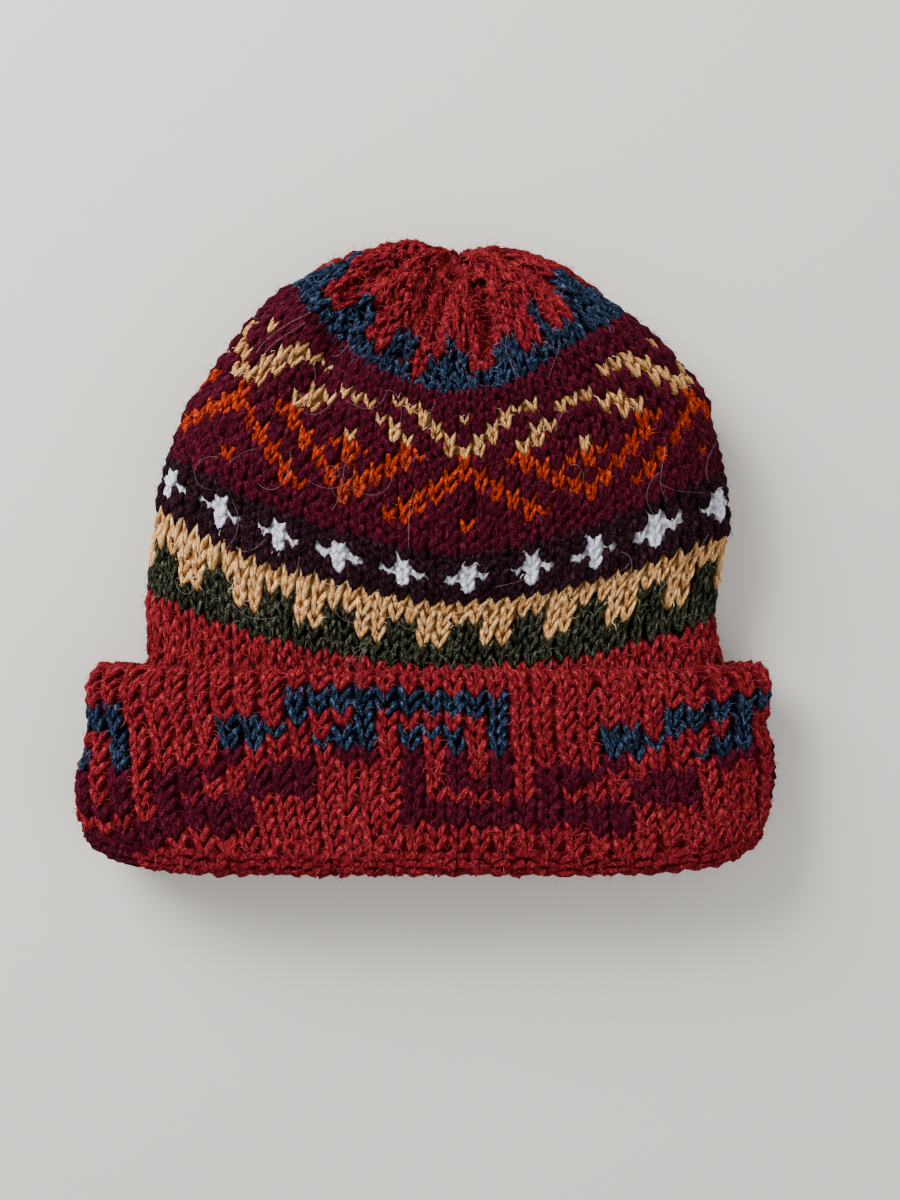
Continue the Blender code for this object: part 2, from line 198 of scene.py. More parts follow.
def kept_above(points, height):
    """The same points, with none of them below a height."""
    raised = np.array(points)
    raised[..., 2] = np.maximum(raised[..., 2], height)
    return raised


FRONT_ROUNDNESS = 4.0         # 2 is an ellipse, and more is flatter with rounder folds
UNDER_ROUNDNESS = 6.0
HALF_SAMPLES = 240            # from the middle of one face to a fold


def flattened_ring(left, right, front, under, bend, count):
    """Evenly spaced points of a lying ring, from the middle of the front towards the right."""
    middle_height = (under[1] + front[1]) / 2
    halves = []
    for face, middle, roundness in ((1, front, FRONT_ROUNDNESS), (-1, under, UNDER_ROUNDNESS)):
        across = face * np.sin(np.linspace(-np.pi / 2, np.pi / 2, 2 * HALF_SAMPLES + 1))
        drop = (left[1] + right[1]) / 2 - middle[0]
        x = mix(left[0], right[0], (1 + across) / 2)
        y = mix(left[1], right[1], (1 + across) / 2) - drop * (1 - np.abs(across) ** bend)
        z = middle_height + (middle[1] - middle_height) * np.sqrt(1 - np.abs(across) ** roundness)
        halves.append(np.stack((x, y, z), axis=1))
    upper, lower = halves
    loop = np.concatenate((upper[HALF_SAMPLES:], lower[1:], upper[1:HALF_SAMPLES + 1]))
    travelled = np.concatenate(([0.0], np.cumsum(np.linalg.norm(np.diff(loop, axis=0), axis=1))))
    wanted = np.arange(count) * travelled[-1] / count
    return np.stack([np.interp(wanted, travelled, loop[:, axis]) for axis in range(3)], axis=1)


def crown_ring(row):
    """One knitted row of the crown's outer face."""
    (left, right, middle, bend, stretch_left, stretch_right,
     rise, sink, tuck, flare) = values_at(CROWN_ROWS, row)
    folds = []
    for side, place, stretch, rim_width in ((-1, left, stretch_left, RIM_WIDTHS[0]),
                                            (1, right, stretch_right, RIM_WIDTHS[1])):
        turn = min(place, 1.0) * np.pi / 2
        x = CROWN_OFFSET + POLE_OFFSET * (1 - min(place, 1.0)) ** 5
        x += side * DOME_RADIUS * stretch * np.sin(turn)
        recess = POLE_RECESS * np.exp(-(place / RECESS_REACH) ** 2)
        y = DOME_LINE + DOME_RADIUS * stretch * np.cos(turn) - recess
        y -= max(place - 1.0, 0.0) * (TUBE_LENGTH - CORNER_RISE)
        end = side * (CUFF_HALF_WIDTH * rim_width - INNER_LAYER)
        folds.append((mix(x, end, flare), y))
    y = mix(POLE_LINE, LOWER_EDGE, middle)
    over = mix(mix(POLE_HEIGHT, DOME_LOFT, rise), CUFF_LOFT - INNER_LAYER, tuck)
    below = mix(mix(POLE_HEIGHT, -FLOOR_PRESS, sink), INNER_LAYER, tuck)
    points = flattened_ring(folds[0], folds[1], (y, over), (y, below), bend, RING_POINTS)
    return kept_above(points, INNER_LAYER * tuck)


def turns_apart(place, middle):
    """How far a place round the hat lies to the right of another, half a turn at most."""
    return (place - middle + 0.5) % 1.0 - 0.5


def crown_folds(row):
    """How deep the pleats, dents and creases press each point of a row in."""
    around = np.arange(RING_POINTS) / RING_POINTS
    depth = np.zeros(RING_POINTS)
    for place, spread, reach, share in PLEATS:
        faded = min(row / reach, 1.0)
        strength = 2.6 * np.sqrt(faded) * (1 - faded)     # 1 at a third of the pleat's length
        depth += PLEAT_DEPTH * share * strength * np.exp(-(turns_apart(around, place) / spread) ** 2)
    for place, middle, spread, length, twist, share in DENTS:
        across = turns_apart(around, place + twist * (row - middle)) / spread
        depth += WALL * share * np.exp(-across**2 - ((row - middle) / length) ** 2)
    for first, start, last, end, amount in CREASES:
        along = (row - first) / (last - first)
        if 0 < along < 1:
            across = turns_apart(around, mix(start, end, along)) / CREASE_WIDTH
            depth += amount * np.sin(np.pi * along) ** 0.5 * np.exp(-across**2)
    slack = np.sin(2 * np.pi * 7 * around + 0.31 * row) * np.sin(0.53 * row + 4 * np.pi * around)
    return depth + SLACK * slack


def crown_sag(turns, rows):
    """The rows by which the knitting lies below level."""
    total = 0.0
    for middle, length, amounts in SAGS:
        level = np.interp(turns_apart(turns, 0.0), SAG_TURNS, amounts)
        total = total + level * np.exp(-((rows - middle) / length) ** 2)
    return total


def crown_lean(turns, rows):
    """The turns by which a stitch lies to the right of its column's line."""
    stations = [row for row, stitches in LEANS]
    total = 0.0
    for (row, stitches), peak in zip(LEANS, np.eye(len(LEANS))):
        share = np.interp(rows, stations, peak)
        total = total + share * np.interp(turns_apart(turns, 0.0), LEAN_TURNS, stitches)
    return total / CROWN_STITCHES


def outward_of(grid):
    """Unit normals of a grid of rings, pole first, that run from the front's middle to the right."""
    around = np.roll(grid, -1, axis=1) - np.roll(grid, 1, axis=1)
    normals = np.cross(np.gradient(grid, axis=0), around)
    return normals / np.maximum(np.linalg.norm(normals, axis=2, keepdims=True), 1e-12)


rim_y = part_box("cuff")[0][1]  # the hat's lengths count from its rim


def make_skin(rings, stations):
    """A surface that yarn can be laid on: its points, its normals and the row of each ring."""
    grid = np.array(rings)
    grid[:, :, 1] += rim_y
    return {"points": grid, "normals": outward_of(grid), "rows": np.array(stations)}


def lay_on(skin, turns, rows, heights):
    """Points at a turn and row of a skin and a height above it."""
    stations = skin["rows"]
    rows = np.clip(rows, stations[0], stations[-1] - 1e-6)
    ring = np.interp(rows, stations, np.arange(len(stations)))
    above = np.minimum(ring.astype(int), len(stations) - 2)
    column = (turns % 1.0) * RING_POINTS
    left = np.floor(column).astype(int) % RING_POINTS
    right = (left + 1) % RING_POINTS
    share_down = (ring - above)[:, None]
    share_across = (column - np.floor(column))[:, None]
    laid = []
    for layer in (skin["points"], skin["normals"]):
        upper = mix(layer[above, left], layer[above, right], share_across)
        lower = mix(layer[above + 1, left], layer[above + 1, right], share_across)
        laid.append(mix(upper, lower, share_down))
    return laid[0] + laid[1] * heights[:, None]


crown_stations = np.concatenate((np.arange(0.25, 16, 0.2), np.arange(16, LOWEST_ROW + 0.1, 0.4)))
crown_skin = make_skin([crown_ring(row) for row in crown_stations], crown_stations)
pressed = np.array([crown_folds(row) for row in crown_stations])
crown_skin["points"] = kept_above(crown_skin["points"] - crown_skin["normals"] * pressed[:, :, None], 0.0)
crown_skin["normals"] = outward_of(crown_skin["points"])


# The knitting chart of the crown
# Each row of the round is knitted from one or two yarns, carried across the back of the fabric.
# Letters name the yarn of each stitch of a repeat, and the repeats go round the hat.

# Each yarn's name, its middle colour, that of its lighter fibres and its darkest colour, which the painted
# shade in its gaps reaches
YARNS = {
    "r": ("red_alpaca", "#7C1420", "#C03E42", "#4C0A14"),
    "b": ("blue_heather_wool", "#0E182E", "#5A7296", "#020409"),
    "m": ("maroon_alpaca", "#400415", "#6C1C34", "#28020C"),
    "o": ("orange_wool", "#AC280C", "#E05822", "#501206"),
    "g": ("straw_gold_wool", "#F0A65C", "#FFE6B0", "#864A20"),
    "p": ("plum_alpaca", "#1B060F", "#482734", "#0E0308"),
    "w": ("white_wool", "#F6F6FF", "#FFFFFF", "#D8D8FA"),
    "y": ("deep_gold_wool", "#FAB464", "#FFEABC", "#8C5022"),
    "n": ("dark_green_heather_wool", "#14150E", "#72735A", "#060603"),
}

# The rows below the gather's teeth, where a dot is the maroon behind the figures
CHART_ROW = 13
CROWN_CHART = (
    "................",
    "................",
    "g..ggg.....ggg..",
    "..gg...ggg...gg.",
    ".gg..gg...gg..gg",
    "gg..gg.....gg..g",
    "o..oo...g...oo..",
    "oo..oo.ooo.oo..o",
    ".oo..oo.o.oo..oo",
    "..oo..oo.oo..oo.",
    "...oo..ooo..oo..",
    "o...oo..o..oo...",
    "................",
    "................",
    "p",
    "wppp",
    "wwpw",
    "wppp",
    "p",
    "y",
    "y",
    "nnyy",
    "nnyy",
    "n",
    "n",
)
CHART_OFFSET = 1.3            # the pattern's middle lies this many stitches right of the dome's middle

# Teeth of the red in the blue: places in turns, and how far each row's red reaches towards the next
TEETH_ROW = 7
TEETH = np.array((-0.178, -0.106, -0.050, 0.020, 0.095, 0.138, 0.236, 0.287, 0.338, 0.407, 0.476, 0.545,
                  0.614, 0.684, 0.753, 0.822))
TOOTH_REACH = {7: 1.2, 8: 0.80, 9: 0.58, 10: 0.36, 11: 0.12}
LONG_TEETH = (2, 4, 9)
END_GAP = 0.07                # beside the first and the last tooth
WIDEST_GAP = 0.075

# Stitches in the rows near the gather, where two are knitted together again and again
STITCHES_FROM_ROW = ((0, 10), (2, 20), (4, 40), (7, 60), (13, 80))
CROWN_LAST_STITCH_ROW = 42


def stitches_in(row):
    """How many stitches a row of the crown has."""
    return [count for first, count in STITCHES_FROM_ROW if row >= first][-1]


def crown_yarn(row, stitch):
    """The yarn of a stitch, counted to the right from the pattern's middle."""
    if row < TEETH_ROW or row >= CHART_ROW + len(CROWN_CHART):
        return "r"
    if row >= CHART_ROW:
        repeat = CROWN_CHART[row - CHART_ROW]
        return repeat[stitch % len(repeat)].replace(".", "m")
    count = stitches_in(row)
    middle = (TEETH[0] + TEETH[-1]) / 2
    turn = turns_apart((stitch + CHART_OFFSET * count / CROWN_STITCHES) / count, middle) + middle
    nearest = int(np.argmin(np.abs(TEETH - turn)))
    neighbour = nearest + (1 if turn > TEETH[nearest] else -1)
    gap = END_GAP
    if 0 <= neighbour < len(TEETH):
        gap = min(WIDEST_GAP, abs(TEETH[neighbour] - TEETH[nearest]))
    reach = TOOTH_REACH.get(row, 0.0)
    if row == max(TOOTH_REACH) and nearest not in LONG_TEETH:
        reach = 0.0
    return "r" if 2 * abs(TEETH[nearest] - turn) / gap < reach else "b"


# The stitch
# A stitch is one loop of plied yarn, pulled through the loop below it, so that it shows as a V.
# Its two legs start deep between the legs of the V below and dive again behind the V above.
def add(tree, kind, inputs=None, curve=(), ramp=(), **settings):
    """One node: inputs are values, sockets or nodes, by name or number, and settings its properties.

    The points of a float curve are (place, value), and the stops of a colour ramp (place, colour).
    """
    node = tree.nodes.new(kind)
    for name, value in settings.items():
        setattr(node, name, value)
    for key, value in (inputs or {}).items():
        if isinstance(value, bpy.types.Node):
            value = value.outputs[0]
        if isinstance(value, bpy.types.NodeSocket):
            tree.links.new(value, node.inputs[key])
        else:
            node.inputs[key].default_value = value
    if curve:
        node.mapping.clip_min_y = -2.0
        node.mapping.clip_max_y = 2.0
        points = node.mapping.curves[0].points
        while len(points) < len(curve):
            points.new(0.5, 0.5)
        for point, place in zip(points, curve):
            point.location = place
        node.mapping.update()
    if ramp:
        stops = node.color_ramp.elements
        while len(stops) < len(ramp):
            stops.new(0.5)
        for stop, (place, colour) in zip(stops, ramp):
            stop.position = place
            stop.color = colour
    return node


def new_tree(name, inputs):
    """A geometry tree with named inputs; each is (name, kind)."""
    tree = bpy.data.node_groups.new(name, "GeometryNodeTree")
    tree.interface.new_socket(name="Geometry", in_out="INPUT", socket_type="NodeSocketGeometry")
    for label, kind in inputs:
        tree.interface.new_socket(name=label, in_out="INPUT", socket_type="NodeSocket" + kind)
    tree.interface.new_socket(name="Geometry", in_out="OUTPUT", socket_type="NodeSocketGeometry")
    return tree


def end_tree(tree, geometry, material):
    """The last nodes of a tree: its realized geometry, smooth and in its material."""
    smooth = add(tree, "GeometryNodeSetShadeSmooth", {0: geometry})
    painted = add(tree, "GeometryNodeSetMaterial", {0: smooth, "Material": material})
    add(tree, "NodeGroupOutput", {0: painted})
    return tree


# How far a leg's lean, in radians, and its length, width and depth, as shares, may be off
LEG_SPREADS = (0.17, 0.16, 0.13, 0.14)


def loop_tree(name, sideways, upwards, outwards, plumpness):
    """Half a loop of yarn shaped by four curves, set twice on every stitch point, the second mirrored."""
    tree = new_tree(name, (("Stitch width", "Float"), ("Row height", "Float"), ("Yarn radius", "Float"),
                           ("Unevenness", "Float"), ("Seed", "Int"), ("Yarn", "Material")))
    given = add(tree, "NodeGroupInput").outputs
    line = add(tree, "GeometryNodeCurvePrimitiveLine", {"End": (0.0, 1.0, 0.0)})
    leg = add(tree, "GeometryNodeResampleCurve", {"Curve": line, "Count": 5})
    along = add(tree, "GeometryNodeSplineParameter").outputs["Factor"]
    leg = add(tree, "GeometryNodeStoreNamedAttribute",
              {"Geometry": leg, "Name": "along", "Value": along}, data_type="FLOAT")
    scaled = []
    for points, size in ((sideways, "Stitch width"), (upwards, "Row height"), (outwards, "Yarn radius"),
                         (plumpness, "Yarn radius")):
        shaped = add(tree, "ShaderNodeFloatCurve", {"Factor": 1.0, "Value": along}, curve=points)
        scaled.append(add(tree, "ShaderNodeMath", {0: shaped, 1: given[size]}, operation="MULTIPLY"))
    place = add(tree, "ShaderNodeCombineXYZ", {0: scaled[0], 1: scaled[1], 2: scaled[2]})
    leg = add(tree, "GeometryNodeSetPosition", {"Geometry": leg, "Position": place})
    circle = add(tree, "GeometryNodeCurvePrimitiveCircle", {"Resolution": 5, "Radius": 1.0})
    circle = add(tree, "GeometryNodeStoreNamedAttribute",
                 {"Geometry": circle, "Name": "around", "Value": along}, data_type="FLOAT")
    tube = add(tree, "GeometryNodeCurveToMesh", {"Curve": leg, "Profile Curve": circle,
                                                 "Scale": scaled[3], "Fill Caps": True})
    lengthwise = add(tree, "GeometryNodeInputNamedAttribute", {"Name": "along"}, data_type="FLOAT")
    crosswise = add(tree, "GeometryNodeInputNamedAttribute", {"Name": "around"}, data_type="FLOAT")
    uv = add(tree, "ShaderNodeCombineXYZ", {0: lengthwise, 1: crosswise})
    tube = add(tree, "GeometryNodeStoreNamedAttribute", {"Geometry": tube, "Name": "UVMap", "Value": uv},
               data_type="FLOAT2", domain="CORNER")
    mirrored = add(tree, "GeometryNodeTransform", {"Geometry": tube, "Scale": (-1.0, 1.0, 1.0)})
    mirrored = add(tree, "GeometryNodeFlipFaces", {"Mesh": mirrored})

    # Hand knitting is uneven: each leg has its own lean, length and thickness
    widening = add(tree, "GeometryNodeInputNamedAttribute", {"Name": "widening"}, data_type="FLOAT")
    thickness = add(tree, "GeometryNodeInputNamedAttribute", {"Name": "thickness"}, data_type="FLOAT")
    legs = add(tree, "GeometryNodeJoinGeometry")
    for side, half in enumerate((tube, mirrored)):
        drawn = []
        for i, spread in enumerate(LEG_SPREADS):
            reach = add(tree, "ShaderNodeMath", {0: given["Unevenness"], 1: spread}, operation="MULTIPLY")
            seed = add(tree, "ShaderNodeMath", {0: given["Seed"], 1: 10.0 * side + i}, operation="ADD")
            chance = add(tree, "FunctionNodeRandomValue", {2: -1.0, 3: 1.0, "Seed": seed}, data_type="FLOAT")
            base = 0.0 if i == 0 else 1.0
            drawn.append(add(tree, "ShaderNodeMath", {0: chance.outputs[1], 1: reach, 2: base},
                             operation="MULTIPLY_ADD"))
        lean = add(tree, "ShaderNodeCombineXYZ", {2: drawn[0]})
        across = add(tree, "ShaderNodeMath", {0: widening, 1: drawn[2]}, operation="MULTIPLY")
        across = add(tree, "ShaderNodeMath", {0: across, 1: thickness}, operation="MULTIPLY")
        deep = add(tree, "ShaderNodeMath", {0: drawn[3], 1: thickness}, operation="MULTIPLY")
        size = add(tree, "ShaderNodeCombineXYZ", {0: across, 1: drawn[1], 2: deep})
        stitches = add(tree, "GeometryNodeInstanceOnPoints",
                       {"Points": given["Geometry"], "Instance": half, "Rotation": lean, "Scale": size})
        seed = add(tree, "ShaderNodeMath", {0: given["Seed"], 1: 10.0 * side + 5.0}, operation="ADD")
        shade = add(tree, "FunctionNodeRandomValue", {"Seed": seed}, data_type="FLOAT")
        stitches = add(tree, "GeometryNodeStoreNamedAttribute",
                       {"Geometry": stitches, "Name": "shade", "Value": shade.outputs[1]},
                       data_type="FLOAT", domain="INSTANCE")
        tree.links.new(stitches.outputs[0], legs.inputs[0])
    whole = add(tree, "GeometryNodeRealizeInstances", {0: legs})
    # Each point's height in yarn radii, by which the yarn's material paints shade into the depths of the
    # knitting
    height = add(tree, "ShaderNodeSeparateXYZ", {0: add(tree, "GeometryNodeInputPosition")})
    crest = add(tree, "ShaderNodeMath", {0: height.outputs[2], 1: given["Yarn radius"]}, operation="DIVIDE")
    whole = add(tree, "GeometryNodeStoreNamedAttribute",
                {"Geometry": whole, "Name": "crest", "Value": crest}, data_type="FLOAT")
    return end_tree(tree, whole, given["Yarn"])


knit_tree = loop_tree(
    "knit_stitches",
    sideways=((0.0, 0.03), (0.3, 0.13), (0.65, 0.31), (1.0, 0.46)),
    upwards=((0.0, -0.50), (0.5, 0.40), (1.0, 1.25)),
    outwards=((0.0, -0.8), (0.22, 0.40), (0.45, 0.85), (0.72, 0.65), (1.0, -0.8)),
    plumpness=((0.0, 0.55), (0.25, 0.92), (0.5, 1.0), (0.75, 0.95), (1.0, 0.55)))


def grow(tree, points, attributes, values):
    """The plain mesh that a geometry tree makes from points, or from a mesh, with its inputs set."""
    if isinstance(points, bpy.types.Mesh):
        start = points
    else:
        start = bpy.data.meshes.new("start")
        start.from_pydata(np.asarray(points).tolist(), [], [])
    for name, numbers in attributes.items():
        start.attributes.new(name, "FLOAT", "POINT").data.foreach_set("value", np.asarray(numbers, float))
    carrier = bpy.data.objects.new("carrier", start)
    bpy.context.scene.collection.objects.link(carrier)
    modifier = carrier.modifiers.new("tree", "NODES")
    modifier.node_group = tree
    for item in tree.interface.items_tree:
        if item.in_out == "INPUT" and item.name in values:
            modifier[item.identifier] = values[item.name]
    graph = bpy.context.evaluated_depsgraph_get()
    mesh = bpy.data.meshes.new_from_object(carrier.evaluated_get(graph), preserve_all_data_layers=True,
                                           depsgraph=graph)
    bpy.data.objects.remove(carrier, do_unlink=True)
    return mesh


def points_of(mesh):
    flat = np.empty(3 * len(mesh.vertices))
    mesh.vertices.foreach_get("co", flat)
    return flat.reshape(-1, 3)


def move_points(mesh, points):
    mesh.vertices.foreach_set("co", points.ravel())
    mesh.update()


def place_piece(name, mesh):
    """A finished piece of the hat, riding on its one body."""
    piece = bpy.data.objects.new(name, mesh)
    bpy.context.scene.collection.objects.link(piece)
    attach(piece, "root")
    return piece


# The yarns
# Soft alpaca and wool, spun and plied by hand and dyed in the hank.
# The eye sees matt, fuzzy strands with fine lighter fibres, and painted shade darkens the gaps between the
# plies.
def linear(hex_colour):
    """An sRGB hex colour as linear RGB."""
    parts = np.array([int(hex_colour[i:i + 2], 16) for i in (1, 3, 5)]) / 255
    values = np.where(parts <= 0.04045, parts / 12.92, ((parts + 0.055) / 1.055) ** 2.4)
    return (*values, 1.0)


def new_material(name, roughness, gloss=0.05):
    """A material with its nodes and its shader."""
    material = bpy.data.materials.new(name)
    material.use_nodes = True
    shader = material.node_tree.nodes["Principled BSDF"]
    shader.inputs["Roughness"].default_value = roughness
    shader.inputs["Specular IOR Level"].default_value = gloss
    return material, material.node_tree, shader


def yarn_material(name, middle, light, dark, fleck, felt):
    """Plied wool: fleck is how much light fibre shows, felt how far fuzz fills the gaps between strands and
    so how little painted shade darkens them.
    """
    material, tree, shader = new_material(name, 0.95)
    uv = add(tree, "ShaderNodeUVMap", uv_map="UVMap")
    shade = add(tree, "ShaderNodeAttribute", attribute_name="shade").outputs["Fac"]
    crest = add(tree, "ShaderNodeAttribute", attribute_name="crest").outputs["Fac"]
    place = add(tree, "ShaderNodeTexCoord").outputs["Object"]

    # Two plies that cross the strand about every 2.5 mm
    twist = add(tree, "ShaderNodeVectorMath", {0: uv, 1: (17.0, 4 * np.pi, 0.0)}, operation="DOT_PRODUCT")
    ply = add(tree, "ShaderNodeMath", {0: twist.outputs["Value"]}, operation="SINE")
    ply = add(tree, "ShaderNodeMapRange", {"Value": ply, 1: -1.0, 2: 0.2})

    # Fibres about 0.2 mm wide, drawn out along the strand
    offset = add(tree, "ShaderNodeCombineXYZ", {0: shade, 1: shade, 2: shade})
    offset = add(tree, "ShaderNodeVectorMath", {0: offset, 3: 37.0}, operation="SCALE")
    streaks = add(tree, "ShaderNodeVectorMath", {0: uv, 1: (5.0, 15.0, 1.0)}, operation="MULTIPLY")
    streaks = add(tree, "ShaderNodeVectorMath", {0: streaks, 1: offset}, operation="ADD")
    fibre = add(tree, "ShaderNodeTexNoise", {"Vector": streaks, "Scale": 1.0, "Detail": 3.0,
                                             "Roughness": 0.6, "Distortion": 0.8}).outputs["Fac"]
    lint = add(tree, "ShaderNodeTexNoise", {"Vector": place, "Scale": 1700.0, "Detail": 3.0,
                                            "Roughness": 0.7}).outputs["Fac"]

    # Painted shade: dark in the grooves between the plies and in the depths of the knitting, lighter on the
    # crests, and less of it on felted yarns.
    # The lint mottles the felted yarns most, and half of it is taken off to keep their colour.
    # The painted shade's strength: darker the lower a point lies between the crests
    deep = add(tree, "ShaderNodeMapRange", {"Value": crest, 1: -0.6, 2: 1.5, 3: felt, 4: 1.0})
    speckle = 1.6 + 1.0 * felt
    tone = add(tree, "ShaderNodeMath", {0: fibre, 1: 2.1, 2: -0.81 - 0.5 * speckle}, operation="MULTIPLY_ADD")
    tone = add(tree, "ShaderNodeMath", {0: ply, 1: 0.24, 2: tone}, operation="MULTIPLY_ADD")
    tone = add(tree, "ShaderNodeMath", {0: lint, 1: speckle, 2: tone}, operation="MULTIPLY_ADD")
    tone = add(tree, "ShaderNodeMath", {0: shade, 1: 0.20, 2: tone}, operation="MULTIPLY_ADD")
    tone = add(tree, "ShaderNodeMath", {0: tone, 1: deep}, operation="MULTIPLY")
    ramp = add(tree, "ShaderNodeValToRGB", {0: tone},
               ramp=((0.10, linear(dark)), (0.62, linear(middle)), (1.0, linear(light))))

    # Single lighter fibres that lie along the strand
    hairs = add(tree, "ShaderNodeVectorMath", {0: uv, 1: (7.0, 46.0, 1.0)}, operation="MULTIPLY")
    hairs = add(tree, "ShaderNodeVectorMath", {0: hairs, 1: offset}, operation="ADD")
    hairs = add(tree, "ShaderNodeTexNoise", {"Vector": hairs, "Scale": 1.0, "Detail": 2.0,
                                             "Roughness": 0.5, "Distortion": 1.6}).outputs["Fac"]
    shown = add(tree, "ShaderNodeMapRange", {"Value": hairs, 1: 0.60 - 0.06 * fleck, 2: 0.74, 4: 0.9})
    # The light fibres take the same painted shade in the depths
    shown = add(tree, "ShaderNodeMath", {0: shown, 1: deep}, operation="MULTIPLY")
    coloured = add(tree, "ShaderNodeMix", {0: shown, 6: ramp, 7: linear(light)}, data_type="RGBA")
    tree.links.new(coloured.outputs[2], shader.inputs["Base Color"])

    # The plies and fibres stand out by up to about a millimetre
    relief = add(tree, "ShaderNodeMath", {0: fibre, 1: 0.7, 2: ply}, operation="MULTIPLY_ADD")
    relief = add(tree, "ShaderNodeMath", {0: lint, 1: 0.45 * speckle, 2: relief}, operation="MULTIPLY_ADD")
    bump = add(tree, "ShaderNodeBump", {"Height": relief, "Strength": 1.0, "Distance": 0.0009})
    tree.links.new(bump.outputs[0], shader.inputs["Normal"])
    shader.inputs["Sheen Weight"].default_value = 0.02
    shader.inputs["Sheen Roughness"].default_value = 0.45
    shader.inputs["Sheen Tint"].default_value = linear(light)
    return material


# How much light fibre each yarn shows, and how far its fuzz fills the gaps, which also lessens the painted
# shade in them
FINISHES = {"r": (0.2, 0.45), "b": (0.6, 0.20), "m": (0.0, 0.90), "o": (0.2, 0.30), "g": (0.5, 0.35),
            "p": (0.0, 0.90), "w": (0.5, 0.85), "y": (0.5, 0.35), "n": (0.9, 0.10)}
yarns = {}
for letter, (name, middle, light, dark) in YARNS.items():
    yarns[letter] = yarn_material(name, middle, light, dark, *FINISHES[letter])


# The crown's ground
# Behind the stitches lie the backs of the loops and the strands carried between them.
# Outside they show in the gaps between stitches, darkened there with painted shade, and inside they are the
# rough reverse of the knitting.
def shell_mesh(name, rings, poles):
    """A closed mesh of rings. Poles, each (point, first vertex of its ring, flip), close the ends.

    With no poles the last ring joins the first.
    """
    count = rings.shape[1]
    points = rings.reshape(-1, 3)
    bands = len(rings) - 1 if poles else len(rings)
    upper = np.arange(bands)[:, None] * count + np.arange(count)[None, :]
    lower = (upper + count) % len(points)
    right = np.roll(upper, -1, axis=1)
    lower_right = np.roll(lower, -1, axis=1)
    faces = np.stack((upper, lower, lower_right, right), axis=2).reshape(-1, 4).tolist()
    for pole, ring_start, flip in poles:
        points = np.concatenate((points, [pole]))
        tip = len(points) - 1
        for i in range(count):
            a = ring_start + i
            b = ring_start + (i + 1) % count
            faces.append([tip, b, a] if flip else [tip, a, b])
    mesh = bpy.data.meshes.new(name)
    mesh.from_pydata(points.tolist(), [], faces)
    mesh.shade_smooth()
    return mesh


def ground_material(name, rows_down, repeats_around):
    """The reverse of hand knitting: rows of small rounded bumps of the same yarns, matt and rough, with
    painted shadow in their hollows.
    """
    material, tree, shader = new_material(name, 0.95)
    uv = add(tree, "ShaderNodeUVMap", uv_map="UVMap")
    # The yarn's colour, with painted shade where the ground lies open between stitches
    colour = add(tree, "ShaderNodeAttribute", attribute_name="ground").outputs["Color"]
    place = add(tree, "ShaderNodeTexCoord").outputs["Object"]
    lint = add(tree, "ShaderNodeTexNoise", {"Vector": place, "Scale": 900.0, "Detail": 4.0,
                                            "Roughness": 0.7}).outputs["Fac"]
    waves = []
    for direction in ((2 * np.pi * repeats_around, 0.0, 0.0), (0.0, 2 * np.pi * rows_down, 0.0)):
        phase = add(tree, "ShaderNodeVectorMath", {0: uv, 1: direction}, operation="DOT_PRODUCT")
        waves.append(add(tree, "ShaderNodeMath", {0: phase.outputs["Value"]}, operation="SINE"))
    bumps = add(tree, "ShaderNodeMath", {0: waves[0], 1: 0.35, 2: waves[1]}, operation="MULTIPLY_ADD")
    relief = add(tree, "ShaderNodeMath", {0: lint, 1: 1.2, 2: bumps}, operation="MULTIPLY_ADD")
    # Painted shadow: the hollows between the bumps darker, their tops lighter
    shadow = add(tree, "ShaderNodeMapRange", {"Value": relief, 1: -0.9, 2: 1.7, 3: 0.25, 4: 1.1})
    toned = add(tree, "ShaderNodeVectorMath", {0: colour, 3: shadow}, operation="SCALE")
    tree.links.new(toned.outputs[0], shader.inputs["Base Color"])
    bump = add(tree, "ShaderNodeBump", {"Height": relief, "Strength": 1.0, "Distance": 0.0012})
    tree.links.new(bump.outputs[0], shader.inputs["Normal"])
    return material


def set_uv(mesh, turns, rows):
    """A UV map from a turn and a row at each point, whole around each face."""
    corners = np.empty(len(mesh.loops), int)
    mesh.loops.foreach_get("vertex_index", corners)
    u = turns[corners]
    starts = np.empty(len(mesh.polygons), int)
    totals = np.empty(len(mesh.polygons), int)
    mesh.polygons.foreach_get("loop_start", starts)
    mesh.polygons.foreach_get("loop_total", totals)
    face = np.repeat(np.arange(len(totals)), totals)
    highest = np.maximum.reduceat(u, starts)
    u = np.where(highest[face] - u > 0.5, u + 1.0, u)
    layer = mesh.uv_layers.new(name="UVMap")
    layer.data.foreach_set("uv", np.stack((u, rows[corners]), axis=1).ravel())


OPEN_DEPTH = 0.0031           # of the ground between loose stitches
FELTED_DEPTH = 0.0009         # and where fuzz fills the gaps
# The ground's colour as painted shade: dark in the open gaps between stitches, lighter where fuzz fills them,
# to offset the painted shadow of its bumps
OPEN_PAINTED_SHADE = 0.3              # painted shade: the ground's colour there, as shares of the yarn's
FELTED_PAINTED_SHADE = 1.2
ABOVE_FLOOR = 0.0002


def sunk(face, normals, letters):
    """The ground's rings below a face of stitches."""
    depths = [mix(OPEN_DEPTH, FELTED_DEPTH, FINISHES[letter][1]) for letter in letters[:face.size // 3]]
    return kept_above(face - np.reshape(depths, (*face.shape[:2], 1)) * normals, ABOVE_FLOOR)


